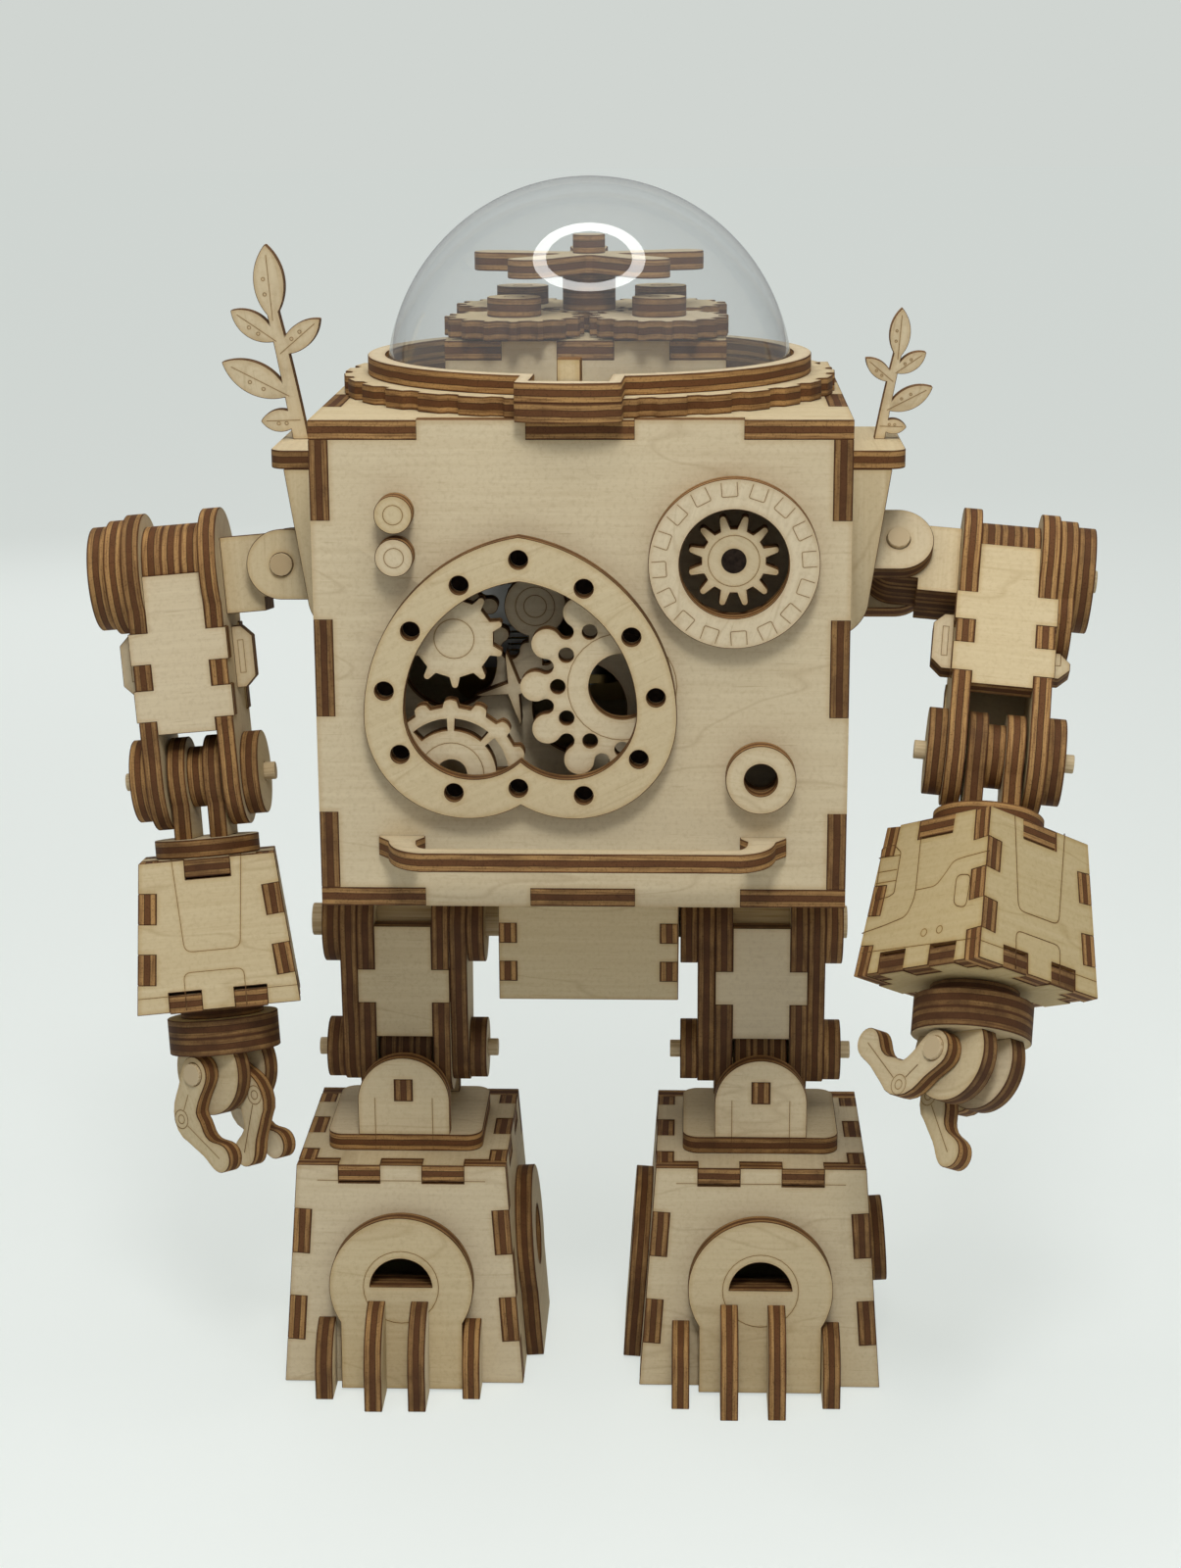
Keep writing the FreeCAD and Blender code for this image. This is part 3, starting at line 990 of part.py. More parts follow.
def pelvis():
    wide = dim.pelvisHalfWidth
    deep = dim.pelvisHalfDepth
    walls = []
    sevenOut = [1, 0, 1, 0, 1, 0, 1]
    sevenIn = [0, 1, 0, 1, 0, 1, 0]
    for start in (-deep + dim.sheet, deep):
        outline = fingered(boxCorners(wide, dim.pelvisBottom, dim.bodyBottom),
                           [(full, 0), (sevenOut, dim.sheet), (full, 0), (sevenOut, dim.sheet)])
        walls.append(place(plate("PelvisFront", [outline]), facingFront, 0, start))
    for start in (-wide, wide - dim.sheet):
        outline = fingered(boxCorners(deep, dim.pelvisBottom, dim.bodyBottom),
                           [(full, 0), (sevenIn, dim.sheet), (full, 0), (sevenIn, dim.sheet)])
        side = plate("PelvisSide", [outline, boundCircle(spot(0, dim.hipZ), axleHole)])
        walls.append(place(side, facingSide, start))
    floor = squareCorners(wide - dim.sheet, deep - dim.sheet)
    walls.append(place(plate("PelvisFloor", [polygon(floor)]), upright, 0, 0, dim.pelvisBottom))
    node("pelvis_plates", walls)
    dowel = rod("HipDowel", "Sizes.axleRadius", "Sizes.dowelRight - Sizes.dowelLeft", facingSide, dim.dowelLeft, 0, dim.hipZ)
    node("hip_dowel", [dowel])


def leg(prefix, centre):
    gap = dim.legGap
    drop = dim.hipZ - dim.ankleZ
    tabTop = dim.hipZ - dim.shinTabZ - dim.shinTabHeight
    tabBottom = dim.hipZ - dim.shinTabZ
    hip = Placement(Vector(centre, 0, dim.hipZ), Rotation())
    pieces = []
    innerPlate = headedBar(dim.thighRadius, dim.thighRadius, drop, dim.thighRadius, [(tabTop, tabBottom, dim.sheet)])
    outerPlate = stadium(spot(0, 0), dim.outerHead, spot(0, -drop), dim.outerTail)
    for side in (-1, 1):
        holes = [boundCircle(spot(0, 0), axleHole), boundCircle(spot(0, -drop), pinHole)]
        pieces.append(place(plate("Thigh", [innerPlate] + holes), facingSide, outward(side, gap, dim.sheet)))
        holes = [boundCircle(spot(0, 0), axleHole), boundCircle(spot(0, -drop), pinHole)]
        pieces.append(place(plate("ThighOuter", [outerPlate] + holes), facingSide, outward(side, gap + dim.sheet, dim.sheet)))
    strip = crossPlate(dim.shinHalf, dim.hipZ - dim.shinTop, dim.hipZ - dim.shinBottom, gap + dim.sheet, [(tabTop, tabBottom)])
    for back in (-dim.shinFace + dim.sheet, dim.shinFace):
        pieces.append(place(plate("ShinCross", [strip]), facingFront, 0, back))
    node(prefix + "_thigh_plates", pieces, hip)

    pieces = []
    for side in (-1, 1):
        start = gap + 2 * dim.sheet
        pieces.append(disc("HipDisc", side, start, "Sizes.outerHead", axleHole))
        pieces.append(disc("AnkleDisc", side, start, "Sizes.ankleDisc", pinHole, 0, -drop))
    pinLength = 2 * (gap + 3 * dim.sheet + 1.9)
    pieces.append(rod("AnklePin", "Sizes.pinRadius", "%f" % pinLength, facingSide, -pinLength / 2, 0, -drop))
    node(prefix + "_thigh_discs", pieces, hip)

    foot(prefix, centre)


def foot(prefix, centre):
    ground = Placement(Vector(centre, 0, 0), Rotation())
    padTop = dim.footHeight + dim.sheet
    pieces = []
    archBack = dim.archFace - dim.sheet
    half = dim.archHalf
    archCentre = spot(0, dim.archTop - half)
    level = dim.coreBottom
    tabLevel = level + dim.coreTab
    tabHalf = dim.sheet / 2 + dim.play
    window = rectangle(-tabHalf, level - dim.play, tabHalf, tabLevel + dim.play)
    arch = [arc(archCentre, half, 0, 180),
            Part.LineSegment(around(archCentre, half, 180), spot(-half, padTop)),
            Part.LineSegment(spot(-half, padTop), spot(half, padTop)),
            Part.LineSegment(spot(half, padTop), around(archCentre, half, 0))]
    for back in (-archBack, dim.archFace):
        pieces.append(place(plate("Arch", [arch, window]), facingFront, 0, back))
    # core round the ankle pin, with a tab of its middle layer in each arch
    radius = dim.coreRadius
    pivot = spot(0, dim.ankleZ)
    flank = math.degrees(math.asin((tabLevel - dim.ankleZ) / radius))
    right = around(pivot, radius, flank).x
    points = [spot(right, tabLevel), spot(right, level), spot(archBack, level), spot(archBack, padTop),
              spot(-archBack, padTop), spot(-archBack, level), spot(-right, level), spot(-right, tabLevel)]
    outline = [Part.LineSegment(a, b) for a, b in zip(points, points[1:])]
    outline.append(arc(pivot, radius, flank, 180 - flank))
    core = plate("AnkleCore", [outline, boundCircle(pivot, pinHole)], "Sizes.sheet * 3")
    place(core, facingSide, -1.5 * dim.sheet)
    pieces.append(core)
    for inside, outside in ((right, dim.archFace), (-dim.archFace, -right)):
        tab = plate("AnkleTab", [rectangle(inside, level, outside, tabLevel)])
        pieces.append(place(tab, facingSide, -0.5 * dim.sheet))
    pad = roundedRectangle(-dim.padWidth / 2, -dim.padDepth / 2, dim.padWidth / 2, dim.padDepth / 2, 3)
    pieces.append(place(plate("AnklePad", [pad]), upright, 0, 0, dim.footHeight))
    node(prefix + "_ankle_block", pieces, ground)

    halves = (dim.footWidth / 2, dim.footDepth / 2)
    tops = (dim.footTopWidth / 2, dim.footTopDepth / 2)
    centreUp = spot(0, dim.keyholeZ)
    moonHalf = dim.moonWidth / 2
    moonRadius = (moonHalf ** 2 + dim.moonHeight ** 2) / (2 * dim.moonHeight)
    moonAngle = math.degrees(math.asin(moonHalf / moonRadius))
    moonCentre = centreUp + spot(0, dim.moonHeight - moonRadius)
    moon = [arc(moonCentre, moonRadius, 90 - moonAngle, 90 + moonAngle),
            Part.LineSegment(around(moonCentre, moonRadius, 90 + moonAngle), around(moonCentre, moonRadius, 90 - moonAngle))]
    lean = math.atan2(halves[1] - tops[1], dim.footHeight)
    sideLean = math.atan2(halves[0] - tops[0], dim.footHeight)
    walls = slantedWalls("FootWall", halves, tops, dim.footHeight, 0, (threeTabs, twoTabs),
                         (threeTabs, threeTabs), (full, full), [[moon], [], [], []])
    pieces = walls
    depths = [dim.sheet / math.cos(lean), dim.sheet / math.cos(sideLean)] * 2
    cover = fingered(squareCorners(*tops), [(twoTabs, depth) for depth in depths])
    pieces.append(place(plate("FootTop", [cover]), upright, 0, 0, dim.footHeight - dim.sheet))
    drop = dim.sheet * math.tan(lean)
    sole = squareCorners(halves[0] - depths[1] - drop, halves[1] - depths[0] - drop)
    pieces.append(place(plate("FootSole", [polygon(sole)]), upright, 0, 0, 0))
    # keyhole plates on the front and the inner side
    neckHalf = dim.keyholeNeck / 2
    drop = math.sqrt(dim.keyholeRadius ** 2 - neckHalf ** 2)
    angle = math.degrees(math.asin(drop / dim.keyholeRadius))
    base = dim.sheet * math.sin(lean)
    keyhole = [arc(centreUp, dim.keyholeRadius, -angle, 180 + angle),
               Part.LineSegment(spot(-neckHalf, dim.keyholeZ - drop), spot(-neckHalf, base)),
               Part.LineSegment(spot(-neckHalf, base), spot(neckHalf, base)),
               Part.LineSegment(spot(neckHalf, base), spot(neckHalf, dim.keyholeZ - drop))]
    sideHole = boundCircle(centreUp, "Sizes.moonWidth / 2")
    covers = {"left": {0: [keyhole, moon], 1: [keyhole, sideHole]},
              "right": {0: [keyhole, moon], 3: [keyhole, sideHole], 1: [boundCircle(centreUp, "Sizes.footDisc")]}}
    for index, outlines in covers[prefix].items():
        wall = walls[index].Placement
        cover = plate("FootCover", outlines)
        cover.Placement = Placement(wall.Base + wall.Rotation.multVec(zAxis) * dim.sheet, wall.Rotation)
        pieces.append(cover)
    node(prefix + "_foot_box", pieces, ground)
    toes(prefix, centre, lean)


def toes(prefix, centre, lean):
    """Four upright toe plates in front of the foot, the outer two lower and beside the keyhole's neck."""
    pieces = []
    front = -dim.footDepth / 2
    # each toe: place beside the middle of the foot, and how far forward it reaches
    toePlaces = {"left": [(-14.0, -29.4), (-4.5, -34.0), (3.4, -33.8), (12.9, -28.7)],
                 "right": [(-14.5, -31.5), (-5.7, -35.7), (2.9, -35.4), (12.9, -30.8)]}
    for x, reach in toePlaces[prefix]:
        onKeyhole = abs(x) < dim.keyholeNeck / 2
        back = front - (dim.sheet / math.cos(lean) if onKeyhole else 0)
        top = dim.toeHeight if onKeyhole else dim.outerToeHeight
        backTop = back + top * math.tan(lean)
        outline = [Part.LineSegment(spot(back, 0), spot(reach, 0)),
                   Part.LineSegment(spot(reach, 0), spot(reach, 0.3 * top)),
                   Part.Arc(spot(reach, 0.3 * top), spot(reach + 1.2, 0.68 * top), spot(backTop, top)),
                   Part.LineSegment(spot(backTop, top), spot(back, 0))]
        pieces.append(place(plate("Toe", [outline]), facingSide, centre + x - dim.sheet / 2))
    node(prefix + "_toes", pieces)


bodyPanels()
heartRing()
innerPlates()
frontFittings()
headParts()
gearTrain()
movement()
shoulderBoxes()
leafSprig("left_leaf_sprig", -1, 1)
leafSprig("right_leaf_sprig", 1, dim.smallSprig)
for prefix, side in (("left", -1), ("right", 1)):
    frames = armFrames(side)
    clevis(prefix + "_shoulder_clevis", side, frames)
    upperArm(prefix, side, frames)
    elbowLink(prefix, frames)
    forearmBox(prefix, frames)
    handHub(prefix, frames)
    fingers(prefix, side, frames)
pelvis()
leg("left", dim.leftLegX)
leg("right", dim.rightLegX)

doc.recompute()
for item in doc.Objects:
    if "Invalid" in item.State or "Error" in item.State:
        raise RuntimeError("failed: " + item.Label)
for part in nodes:
    if part.Shape.isNull() or not part.Shape.isValid():
        raise RuntimeError("bad shape: " + part.Label)

os.makedirs("parts", exist_ok=True)
for part in nodes:
    part.Shape.exportStep("parts/%s.step" % part.Label)
print(len(nodes), "sub-parts written")
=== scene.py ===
import json
import math
import random

import bpy
from mathutils import Matrix, Vector

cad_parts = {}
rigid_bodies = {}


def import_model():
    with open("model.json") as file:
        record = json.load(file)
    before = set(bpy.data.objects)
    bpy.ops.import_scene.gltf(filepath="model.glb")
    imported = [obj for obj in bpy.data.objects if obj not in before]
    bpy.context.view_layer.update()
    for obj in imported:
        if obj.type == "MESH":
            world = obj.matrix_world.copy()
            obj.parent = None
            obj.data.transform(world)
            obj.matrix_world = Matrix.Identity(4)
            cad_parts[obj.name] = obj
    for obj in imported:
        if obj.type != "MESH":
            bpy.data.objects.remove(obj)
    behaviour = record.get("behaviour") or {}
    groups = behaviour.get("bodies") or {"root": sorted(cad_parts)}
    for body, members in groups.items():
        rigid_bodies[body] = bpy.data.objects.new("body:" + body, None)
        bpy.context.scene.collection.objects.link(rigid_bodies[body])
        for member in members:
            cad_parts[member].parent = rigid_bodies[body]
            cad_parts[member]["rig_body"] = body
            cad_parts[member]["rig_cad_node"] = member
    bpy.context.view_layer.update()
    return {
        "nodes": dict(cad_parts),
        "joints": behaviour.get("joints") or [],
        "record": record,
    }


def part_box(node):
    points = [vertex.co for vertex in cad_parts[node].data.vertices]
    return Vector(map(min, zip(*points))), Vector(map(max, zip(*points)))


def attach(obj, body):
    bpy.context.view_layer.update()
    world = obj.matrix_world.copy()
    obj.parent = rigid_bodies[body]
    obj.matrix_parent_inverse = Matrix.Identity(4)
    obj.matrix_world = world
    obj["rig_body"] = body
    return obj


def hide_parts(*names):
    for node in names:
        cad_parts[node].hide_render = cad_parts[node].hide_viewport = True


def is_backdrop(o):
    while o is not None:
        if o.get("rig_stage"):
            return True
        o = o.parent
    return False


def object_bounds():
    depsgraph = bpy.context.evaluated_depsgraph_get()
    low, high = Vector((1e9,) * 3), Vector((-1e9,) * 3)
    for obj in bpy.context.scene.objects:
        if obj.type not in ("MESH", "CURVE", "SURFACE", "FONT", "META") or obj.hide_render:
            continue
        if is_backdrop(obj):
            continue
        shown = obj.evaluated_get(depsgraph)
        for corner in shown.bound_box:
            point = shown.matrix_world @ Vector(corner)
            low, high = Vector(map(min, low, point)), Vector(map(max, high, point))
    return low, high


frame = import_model()
random.seed(11)
print("plywood parts loaded:", len(frame["nodes"]))


def selectOnly(piece):
    bpy.ops.object.select_all(action="DESELECT")
    piece.select_set(True)
    bpy.context.view_layer.objects.active = piece


def editAll(piece):
    selectOnly(piece)
    bpy.ops.object.mode_set(mode="EDIT")
    bpy.ops.mesh.select_all(action="SELECT")


def backToObject():
    bpy.ops.object.mode_set(mode="OBJECT")


def joinAll(pieces):
    selectOnly(pieces[0])
    for piece in pieces[1:]:
        piece.select_set(True)
    if len(pieces) > 1:
        bpy.ops.object.join()
    return bpy.context.object


def sideName(side):
    return "left" if side < 0 else "right"


def jointWith(key, name):
    return next(joint for joint in frame["joints"] if joint[key] == name)


# materials

def startMaterial(name):
    material = bpy.data.materials.new(name)
    material.use_nodes = True
    return material, material.node_tree, material.node_tree.nodes["Principled BSDF"]


def setInputs(tree, node, inputs):
    # another node's output is linked, anything else is written on the socket
    for key, value in inputs.items():
        if isinstance(value, bpy.types.NodeSocket):
            tree.links.new(value, node.inputs[key])
        else:
            node.inputs[key].default_value = value


def addNode(tree, kind, inputs=None, **settings):
    node = tree.nodes.new("ShaderNode" + kind)
    for key, value in settings.items():
        setattr(node, key, value)
    setInputs(tree, node, inputs or {})
    return node


def sheetSpot(tree):
    return addNode(tree, "UVMap", uv_map="sheet").outputs["UV"]


def objectSpot(tree):
    return addNode(tree, "TexCoord").outputs["Object"]


def stretched(tree, place, scale):
    return addNode(tree, "Mapping", {"Vector": place, "Scale": scale}).outputs["Vector"]


def noiseOf(tree, place, scale=1.0, detail=2.0, roughness=0.5):
    inputs = {"Vector": place, "Scale": scale, "Detail": detail, "Roughness": roughness}
    return addNode(tree, "TexNoise", inputs).outputs["Fac"]


def rangeOf(tree, value, band=(0.0, 1.0), result=(0.0, 1.0), clamp=True):
    inputs = {"Value": value, "From Min": band[0], "From Max": band[1], "To Min": result[0], "To Max": result[1]}
    return addNode(tree, "MapRange", inputs, clamp=clamp).outputs["Result"]


def mathOf(tree, operation, *values, **settings):
    return addNode(tree, "Math", dict(enumerate(values)), operation=operation, **settings).outputs["Value"]


def rampOf(tree, share, stops):
    ramp = addNode(tree, "ValToRGB", {"Fac": share})
    band = ramp.color_ramp
    while len(band.elements) < len(stops):
        band.elements.new(0.5)
    for element, (position, color) in zip(band.elements, stops):
        element.position = position
        element.color = (*color, 1)
    return ramp.outputs["Color"]


def overlay(tree, base, share, color):
    return addNode(tree, "MixRGB", {"Fac": share, "Color1": base, "Color2": (*color, 1)}).outputs["Color"]


def blendOf(tree, share, first, second):
    return addNode(tree, "MixShader", {"Fac": share, 1: first, 2: second}).outputs["Shader"]


def reliefOf(tree, height, strength):
    return addNode(tree, "Bump", {"Height": height, "Strength": strength, "Distance": 0.0002}).outputs["Normal"]


sheetFace = {
    "pale": (0.680, 0.575, 0.380),
    "warm": (0.610, 0.500, 0.315),
    "fleck": (0.360, 0.245, 0.120),
    "scorch": (0.430, 0.270, 0.105),
    # streaks per metre along the grain and across it
    "grainScale": (28, 950, 1),
    "fleckScale": (160, 2600, 1),
    "cloudScale": (9, 34, 1),
    "speckleScale": 1300.0,
    # the part of each noise that shows, and how strongly
    "fleckBand": (0.66, 0.80),
    "fleckAmount": 0.34,
    "speckleBand": (0.48, 0.72),
    "speckleAmount": 0.22,
    "cloudBand": (0.40, 0.72),
    "cloudAmount": 0.30,
    "growthLines": 5.0,
    "growthAmount": 0.26,
    "scorchReach": 0.0011,   # how far the brown haze beside a cut reaches, in metres
    "scorchBand": (0.95, 0.45),
    "scorchAmount": 0.55,
    "toneValue": (0.94, 1.04),
    "toneDepth": (1.12, 0.92),
    "roughness": 0.68,
    "specular": 0.3,
    "relief": 0.08,
}


def makeSheetFace():
    material, tree, shader = startMaterial("basswoodFace")
    look = sheetFace
    sheet = sheetSpot(tree)
    # fine fibres along the grain
    grain = noiseOf(tree, stretched(tree, sheet, look["grainScale"]), detail=5.0, roughness=0.65)
    stack = rampOf(tree, grain, [(0.30, look["warm"]), (0.66, look["pale"])])
    # pores
    speckle = noiseOf(tree, objectSpot(tree), look["speckleScale"], roughness=0.7)
    speckleShare = rangeOf(tree, speckle, look["speckleBand"], (0, look["speckleAmount"]))
    stack = overlay(tree, stack, speckleShare, look["fleck"])
    # slow warm clouds, and the odd wavy growth line along their contours
    clouds = noiseOf(tree, stretched(tree, sheet, look["cloudScale"]), detail=3.0)
    stack = overlay(tree, stack, rangeOf(tree, clouds, look["cloudBand"], (0, look["cloudAmount"])), look["warm"])
    contour = mathOf(tree, "FRACT", mathOf(tree, "MULTIPLY", clouds, look["growthLines"]))
    black, white = (0, 0, 0), (1, 1, 1)
    growth = rampOf(tree, contour, [(0.0, black), (0.47, black), (0.50, white), (0.53, black)])
    stack = overlay(tree, stack, mathOf(tree, "MULTIPLY", growth, look["growthAmount"]), look["fleck"])
    # sparse short dark fibres
    fleck = noiseOf(tree, stretched(tree, sheet, look["fleckScale"]), detail=1.0)
    stack = overlay(tree, stack, rangeOf(tree, fleck, look["fleckBand"], (0, look["fleckAmount"])), look["fleck"])
    # brown haze beside each cut
    nearCut = addNode(tree, "AmbientOcclusion", {"Distance": look["scorchReach"]},
                      samples=4, inside=True, only_local=True).outputs["AO"]
    haze = rangeOf(tree, nearCut, look["scorchBand"], (0, look["scorchAmount"]))
    stack = overlay(tree, stack, haze, look["scorch"])
    # each sheet differs a little
    tone = addNode(tree, "Attribute", attribute_name="tone").outputs["Fac"]
    toned = addNode(tree, "HueSaturation", {
        "Color": stack, "Value": rangeOf(tree, tone, result=look["toneValue"], clamp=False),
        "Saturation": rangeOf(tree, tone, result=look["toneDepth"], clamp=False)})
    setInputs(tree, shader, {"Base Color": toned.outputs["Color"], "Normal": reliefOf(tree, grain, look["relief"]),
                             "Roughness": look["roughness"], "Specular IOR Level": look["specular"]})
    return material


sheetThickness = 0.0032

cutEdge = {
    "glue": (0.026, 0.012, 0.006),
    "core": (0.140, 0.058, 0.021),
    "golden": (0.450, 0.258, 0.095),
    "charred": (0.060, 0.026, 0.011),
    "wanderScale": 140.0,
    "wander": (-0.05, 0.05),
    "streaksAcross": 3800,   # streaks per metre across the plies
    "streakRun": 110,        # and along them
    "streakBand": (0.44, 0.66),
    "streakAmount": 0.80,
    "poreScale": 3400.0,
    "poreBand": (0.55, 0.72),
    "poreAmount": 0.40,
    "patchScale": 240.0,
    "patches": (-0.22, 0.22),
    "roughness": 0.74,
    "specular": 0.25,
    "relief": 0.30,
}


def makeCutEdge():
    material, tree, shader = startMaterial("scorchedCutEdge")
    look = cutEdge
    place = objectSpot(tree)
    depth = addNode(tree, "SeparateXYZ", {"Vector": sheetSpot(tree)}).outputs["Y"]
    # three plies and two glue lines, which wander a little along the cut
    wander = rangeOf(tree, noiseOf(tree, place, look["wanderScale"]), result=look["wander"])
    layer = mathOf(tree, "ADD", mathOf(tree, "FRACT", depth), wander)
    charred, core, golden, glue = (look[name] for name in ("charred", "core", "golden", "glue"))
    stack = rampOf(tree, layer, [(0.0, charred), (0.06, core), (0.10, golden), (0.30, golden), (0.34, glue),
                                 (0.38, core), (0.62, core), (0.66, glue), (0.70, golden), (0.90, golden),
                                 (0.94, core), (1.0, charred)])
    # streaks along the plies
    across = mathOf(tree, "MULTIPLY", depth, look["streaksAcross"] * sheetThickness)
    along = stretched(tree, place, (look["streakRun"],) * 3)
    streak = addNode(tree, "TexNoise", {"Vector": along, "W": across, "Scale": 1.0, "Detail": 3.0, "Roughness": 0.6},
                     noise_dimensions="4D").outputs["Fac"]
    stack = overlay(tree, stack, rangeOf(tree, streak, look["streakBand"], (0, look["streakAmount"])), core)
    # pores of the end grain
    pores = noiseOf(tree, place, look["poreScale"], 1.0)
    stack = overlay(tree, stack, rangeOf(tree, pores, look["poreBand"], (0, look["poreAmount"])), glue)
    # how much each part is burnt; on the hand hubs and the thighs part of this darkening is painted shade
    burnt = addNode(tree, "Attribute", attribute_name="burnAndShade").outputs["Fac"]
    patches = rangeOf(tree, noiseOf(tree, place, look["patchScale"], 3.0, 0.6), (0.3, 0.7), look["patches"])
    stack = overlay(tree, stack, mathOf(tree, "ADD", burnt, patches, use_clamp=True), charred)
    setInputs(tree, shader, {"Base Color": stack, "Normal": reliefOf(tree, streak, look["relief"]),
                             "Roughness": look["roughness"], "Specular IOR Level": look["specular"]})
    return material


# line: laser-burnt lines; the second tone pair: near-black painted shade for the floors of deep holes
lineBurnAndHoleShadeTones = {"line": ((0.075, 0.036, 0.016), (0.190, 0.105, 0.045)),
              "hole": ((0.012, 0.008, 0.006), (0.030, 0.020, 0.014)),
              "scale": 900.0, "roughness": 0.8, "specular": 0.1}


def makeDarkFinish(name, tones):
    material, tree, shader = startMaterial(name)
    dark, light = tones
    uneven = noiseOf(tree, objectSpot(tree), lineBurnAndHoleShadeTones["scale"])
    setInputs(tree, shader, {"Base Color": rampOf(tree, uneven, [(0.35, dark), (0.68, light)]),
                             "Roughness": lineBurnAndHoleShadeTones["roughness"], "Specular IOR Level": lineBurnAndHoleShadeTones["specular"]})
    return material


dowelWood = {"pale": (0.640, 0.520, 0.330), "dark": (0.450, 0.330, 0.180), "grainScale": (1500, 60, 1),
             "roughness": 0.6, "specular": 0.3, "relief": 0.15}


def makeDowelWood():
    material, tree, shader = startMaterial("birchDowel")
    look = dowelWood
    grain = noiseOf(tree, stretched(tree, sheetSpot(tree), look["grainScale"]), detail=4.0)
    setInputs(tree, shader, {"Base Color": rampOf(tree, grain, [(0.35, look["dark"]), (0.62, look["pale"])]),
                             "Normal": reliefOf(tree, grain, look["relief"]),
                             "Roughness": look["roughness"], "Specular IOR Level": look["specular"]})
    return material


metals = {"springSteel": ((0.62, 0.61, 0.59), 0.32), "movementBrass": ((0.72, 0.53, 0.22), 0.30),
          "smudgeScale": 220.0, "smudgeTint": 0.72, "wear": (0.75, 1.4)}


def makeMetal(name):
    material, tree, shader = startMaterial(name)
    color, roughness = metals[name]
    smudge = noiseOf(tree, objectSpot(tree), metals["smudgeScale"], 3.0)
    dull = [part * metals["smudgeTint"] for part in color]
    wear = [roughness * share for share in metals["wear"]]
    setInputs(tree, shader, {"Base Color": overlay(tree, (*color, 1), smudge, dull),
                             "Roughness": rangeOf(tree, smudge, result=wear), "Metallic": 1.0})
    return material


domeLook = {"tint": (0.975, 0.980, 0.983), "milk": (0.82, 0.85, 0.86), "roughness": 0.02, "rimPower": 4.0,
            # in the middle of the dome and at its rim
            "gloss": (0.085, 0.70), "haze": (0.065, 0.20), "smudgeScale": 60.0, "smudge": (0.6, 1.4)}


def makeClearDome(name, shine):
    material, tree, shader = startMaterial(name)
    look = domeLook
    surface = addNode(tree, "BsdfTransparent", {"Color": (*look["tint"], 1)}).outputs["BSDF"]
    if shine:
        turned = addNode(tree, "LayerWeight", {"Blend": 0.5}).outputs["Facing"]
        steep = mathOf(tree, "POWER", turned, look["rimPower"])
        smudge = rangeOf(tree, noiseOf(tree, objectSpot(tree), look["smudgeScale"], 3.0), result=look["smudge"])
        hazeShare = mathOf(tree, "MULTIPLY", rangeOf(tree, steep, result=look["haze"]), smudge)
        milk = addNode(tree, "BsdfDiffuse", {"Color": (*look["milk"], 1)}).outputs["BSDF"]
        gloss = addNode(tree, "BsdfAnisotropic", {"Roughness": look["roughness"]}).outputs["BSDF"]
        surface = blendOf(tree, hazeShare, surface, milk)
        surface = blendOf(tree, rangeOf(tree, steep, result=look["gloss"]), surface, gloss)
    setInputs(tree, tree.nodes["Material Output"], {"Surface": surface})
    return material


basswood = makeSheetFace()
scorched = makeCutEdge()
dowelStock = makeDowelWood()
springSteel = makeMetal("springSteel")
movementBrass = makeMetal("movementBrass")
burntBrown = makeDarkFinish("burntLine", lineBurnAndHoleShadeTones["line"])
# painted shade: near-black finish for the floors of the deep holes
holeShadeBlack = makeDarkFinish("paintedHoleShade", lineBurnAndHoleShadeTones["hole"])
clearPlastic = makeClearDome("clearPlastic", True)
clearInside = makeClearDome("clearPlasticInside", False)
print("finishes ready")


# plywood parts: each cut sheet gets crisp scorched rims, grain along its own length and layered edges

def solidRanges(mesh):
    # first and last face of each closed solid, in the order of the mesh
    corners = [tuple(round(part * 1e6) for part in vertex.co) for vertex in mesh.vertices]
    openEdges = set()
    ranges = []
    first = 0
    for face in mesh.polygons:
        ring = [corners[index] for index in face.vertices]
        for start, end in zip(ring, ring[1:] + ring[:1]):
            if (end, start) in openEdges:
                openEdges.discard((end, start))
            else:
                openEdges.add((start, end))
        if not openEdges:
            ranges.append((first, face.index))
            first = face.index + 1
    return ranges


def splitSolids(nodeName):
    selectOnly(frame["nodes"][nodeName])
    bpy.ops.object.duplicate()
    whole = bpy.context.object
    bpy.ops.object.parent_clear(type="CLEAR_KEEP_TRANSFORM")
    del whole["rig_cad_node"]
    del whole["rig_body"]
    solids = []
    bpy.context.tool_settings.mesh_select_mode = (False, False, True)
    for first, last in reversed(solidRanges(whole.data)[1:]):
        selectOnly(whole)
        for face in whole.data.polygons:
            face.select = first <= face.index <= last
        bpy.ops.object.mode_set(mode="EDIT")
        bpy.ops.mesh.separate(type="SELECTED")
        backToObject()
        solids += [piece for piece in bpy.context.selected_objects if piece != whole]
    return [whole] + solids


def sheetDirection(mesh):
    # the direction square or level to nearly all faces, with most of the surface square to it
    same, level, nearlyAll = 0.9995, 0.02, 0.97
    groups = []
    for face in mesh.polygons:
        for group in groups:
            if abs(group[0].dot(face.normal)) > same:
                group[1] += face.area
                break
        else:
            groups.append([face.normal.copy(), face.area])
    total = sum(area for direction, area in groups)
    best = None
    for direction, area in groups:
        agreeing = sum(other[1] for other in groups
                       if abs(other[0].dot(direction)) > same or abs(other[0].dot(direction)) < level)
        score = (agreeing > nearlyAll * total, area)
        if best is None or score > best[0]:
            best = (score, direction)
    return best[1]


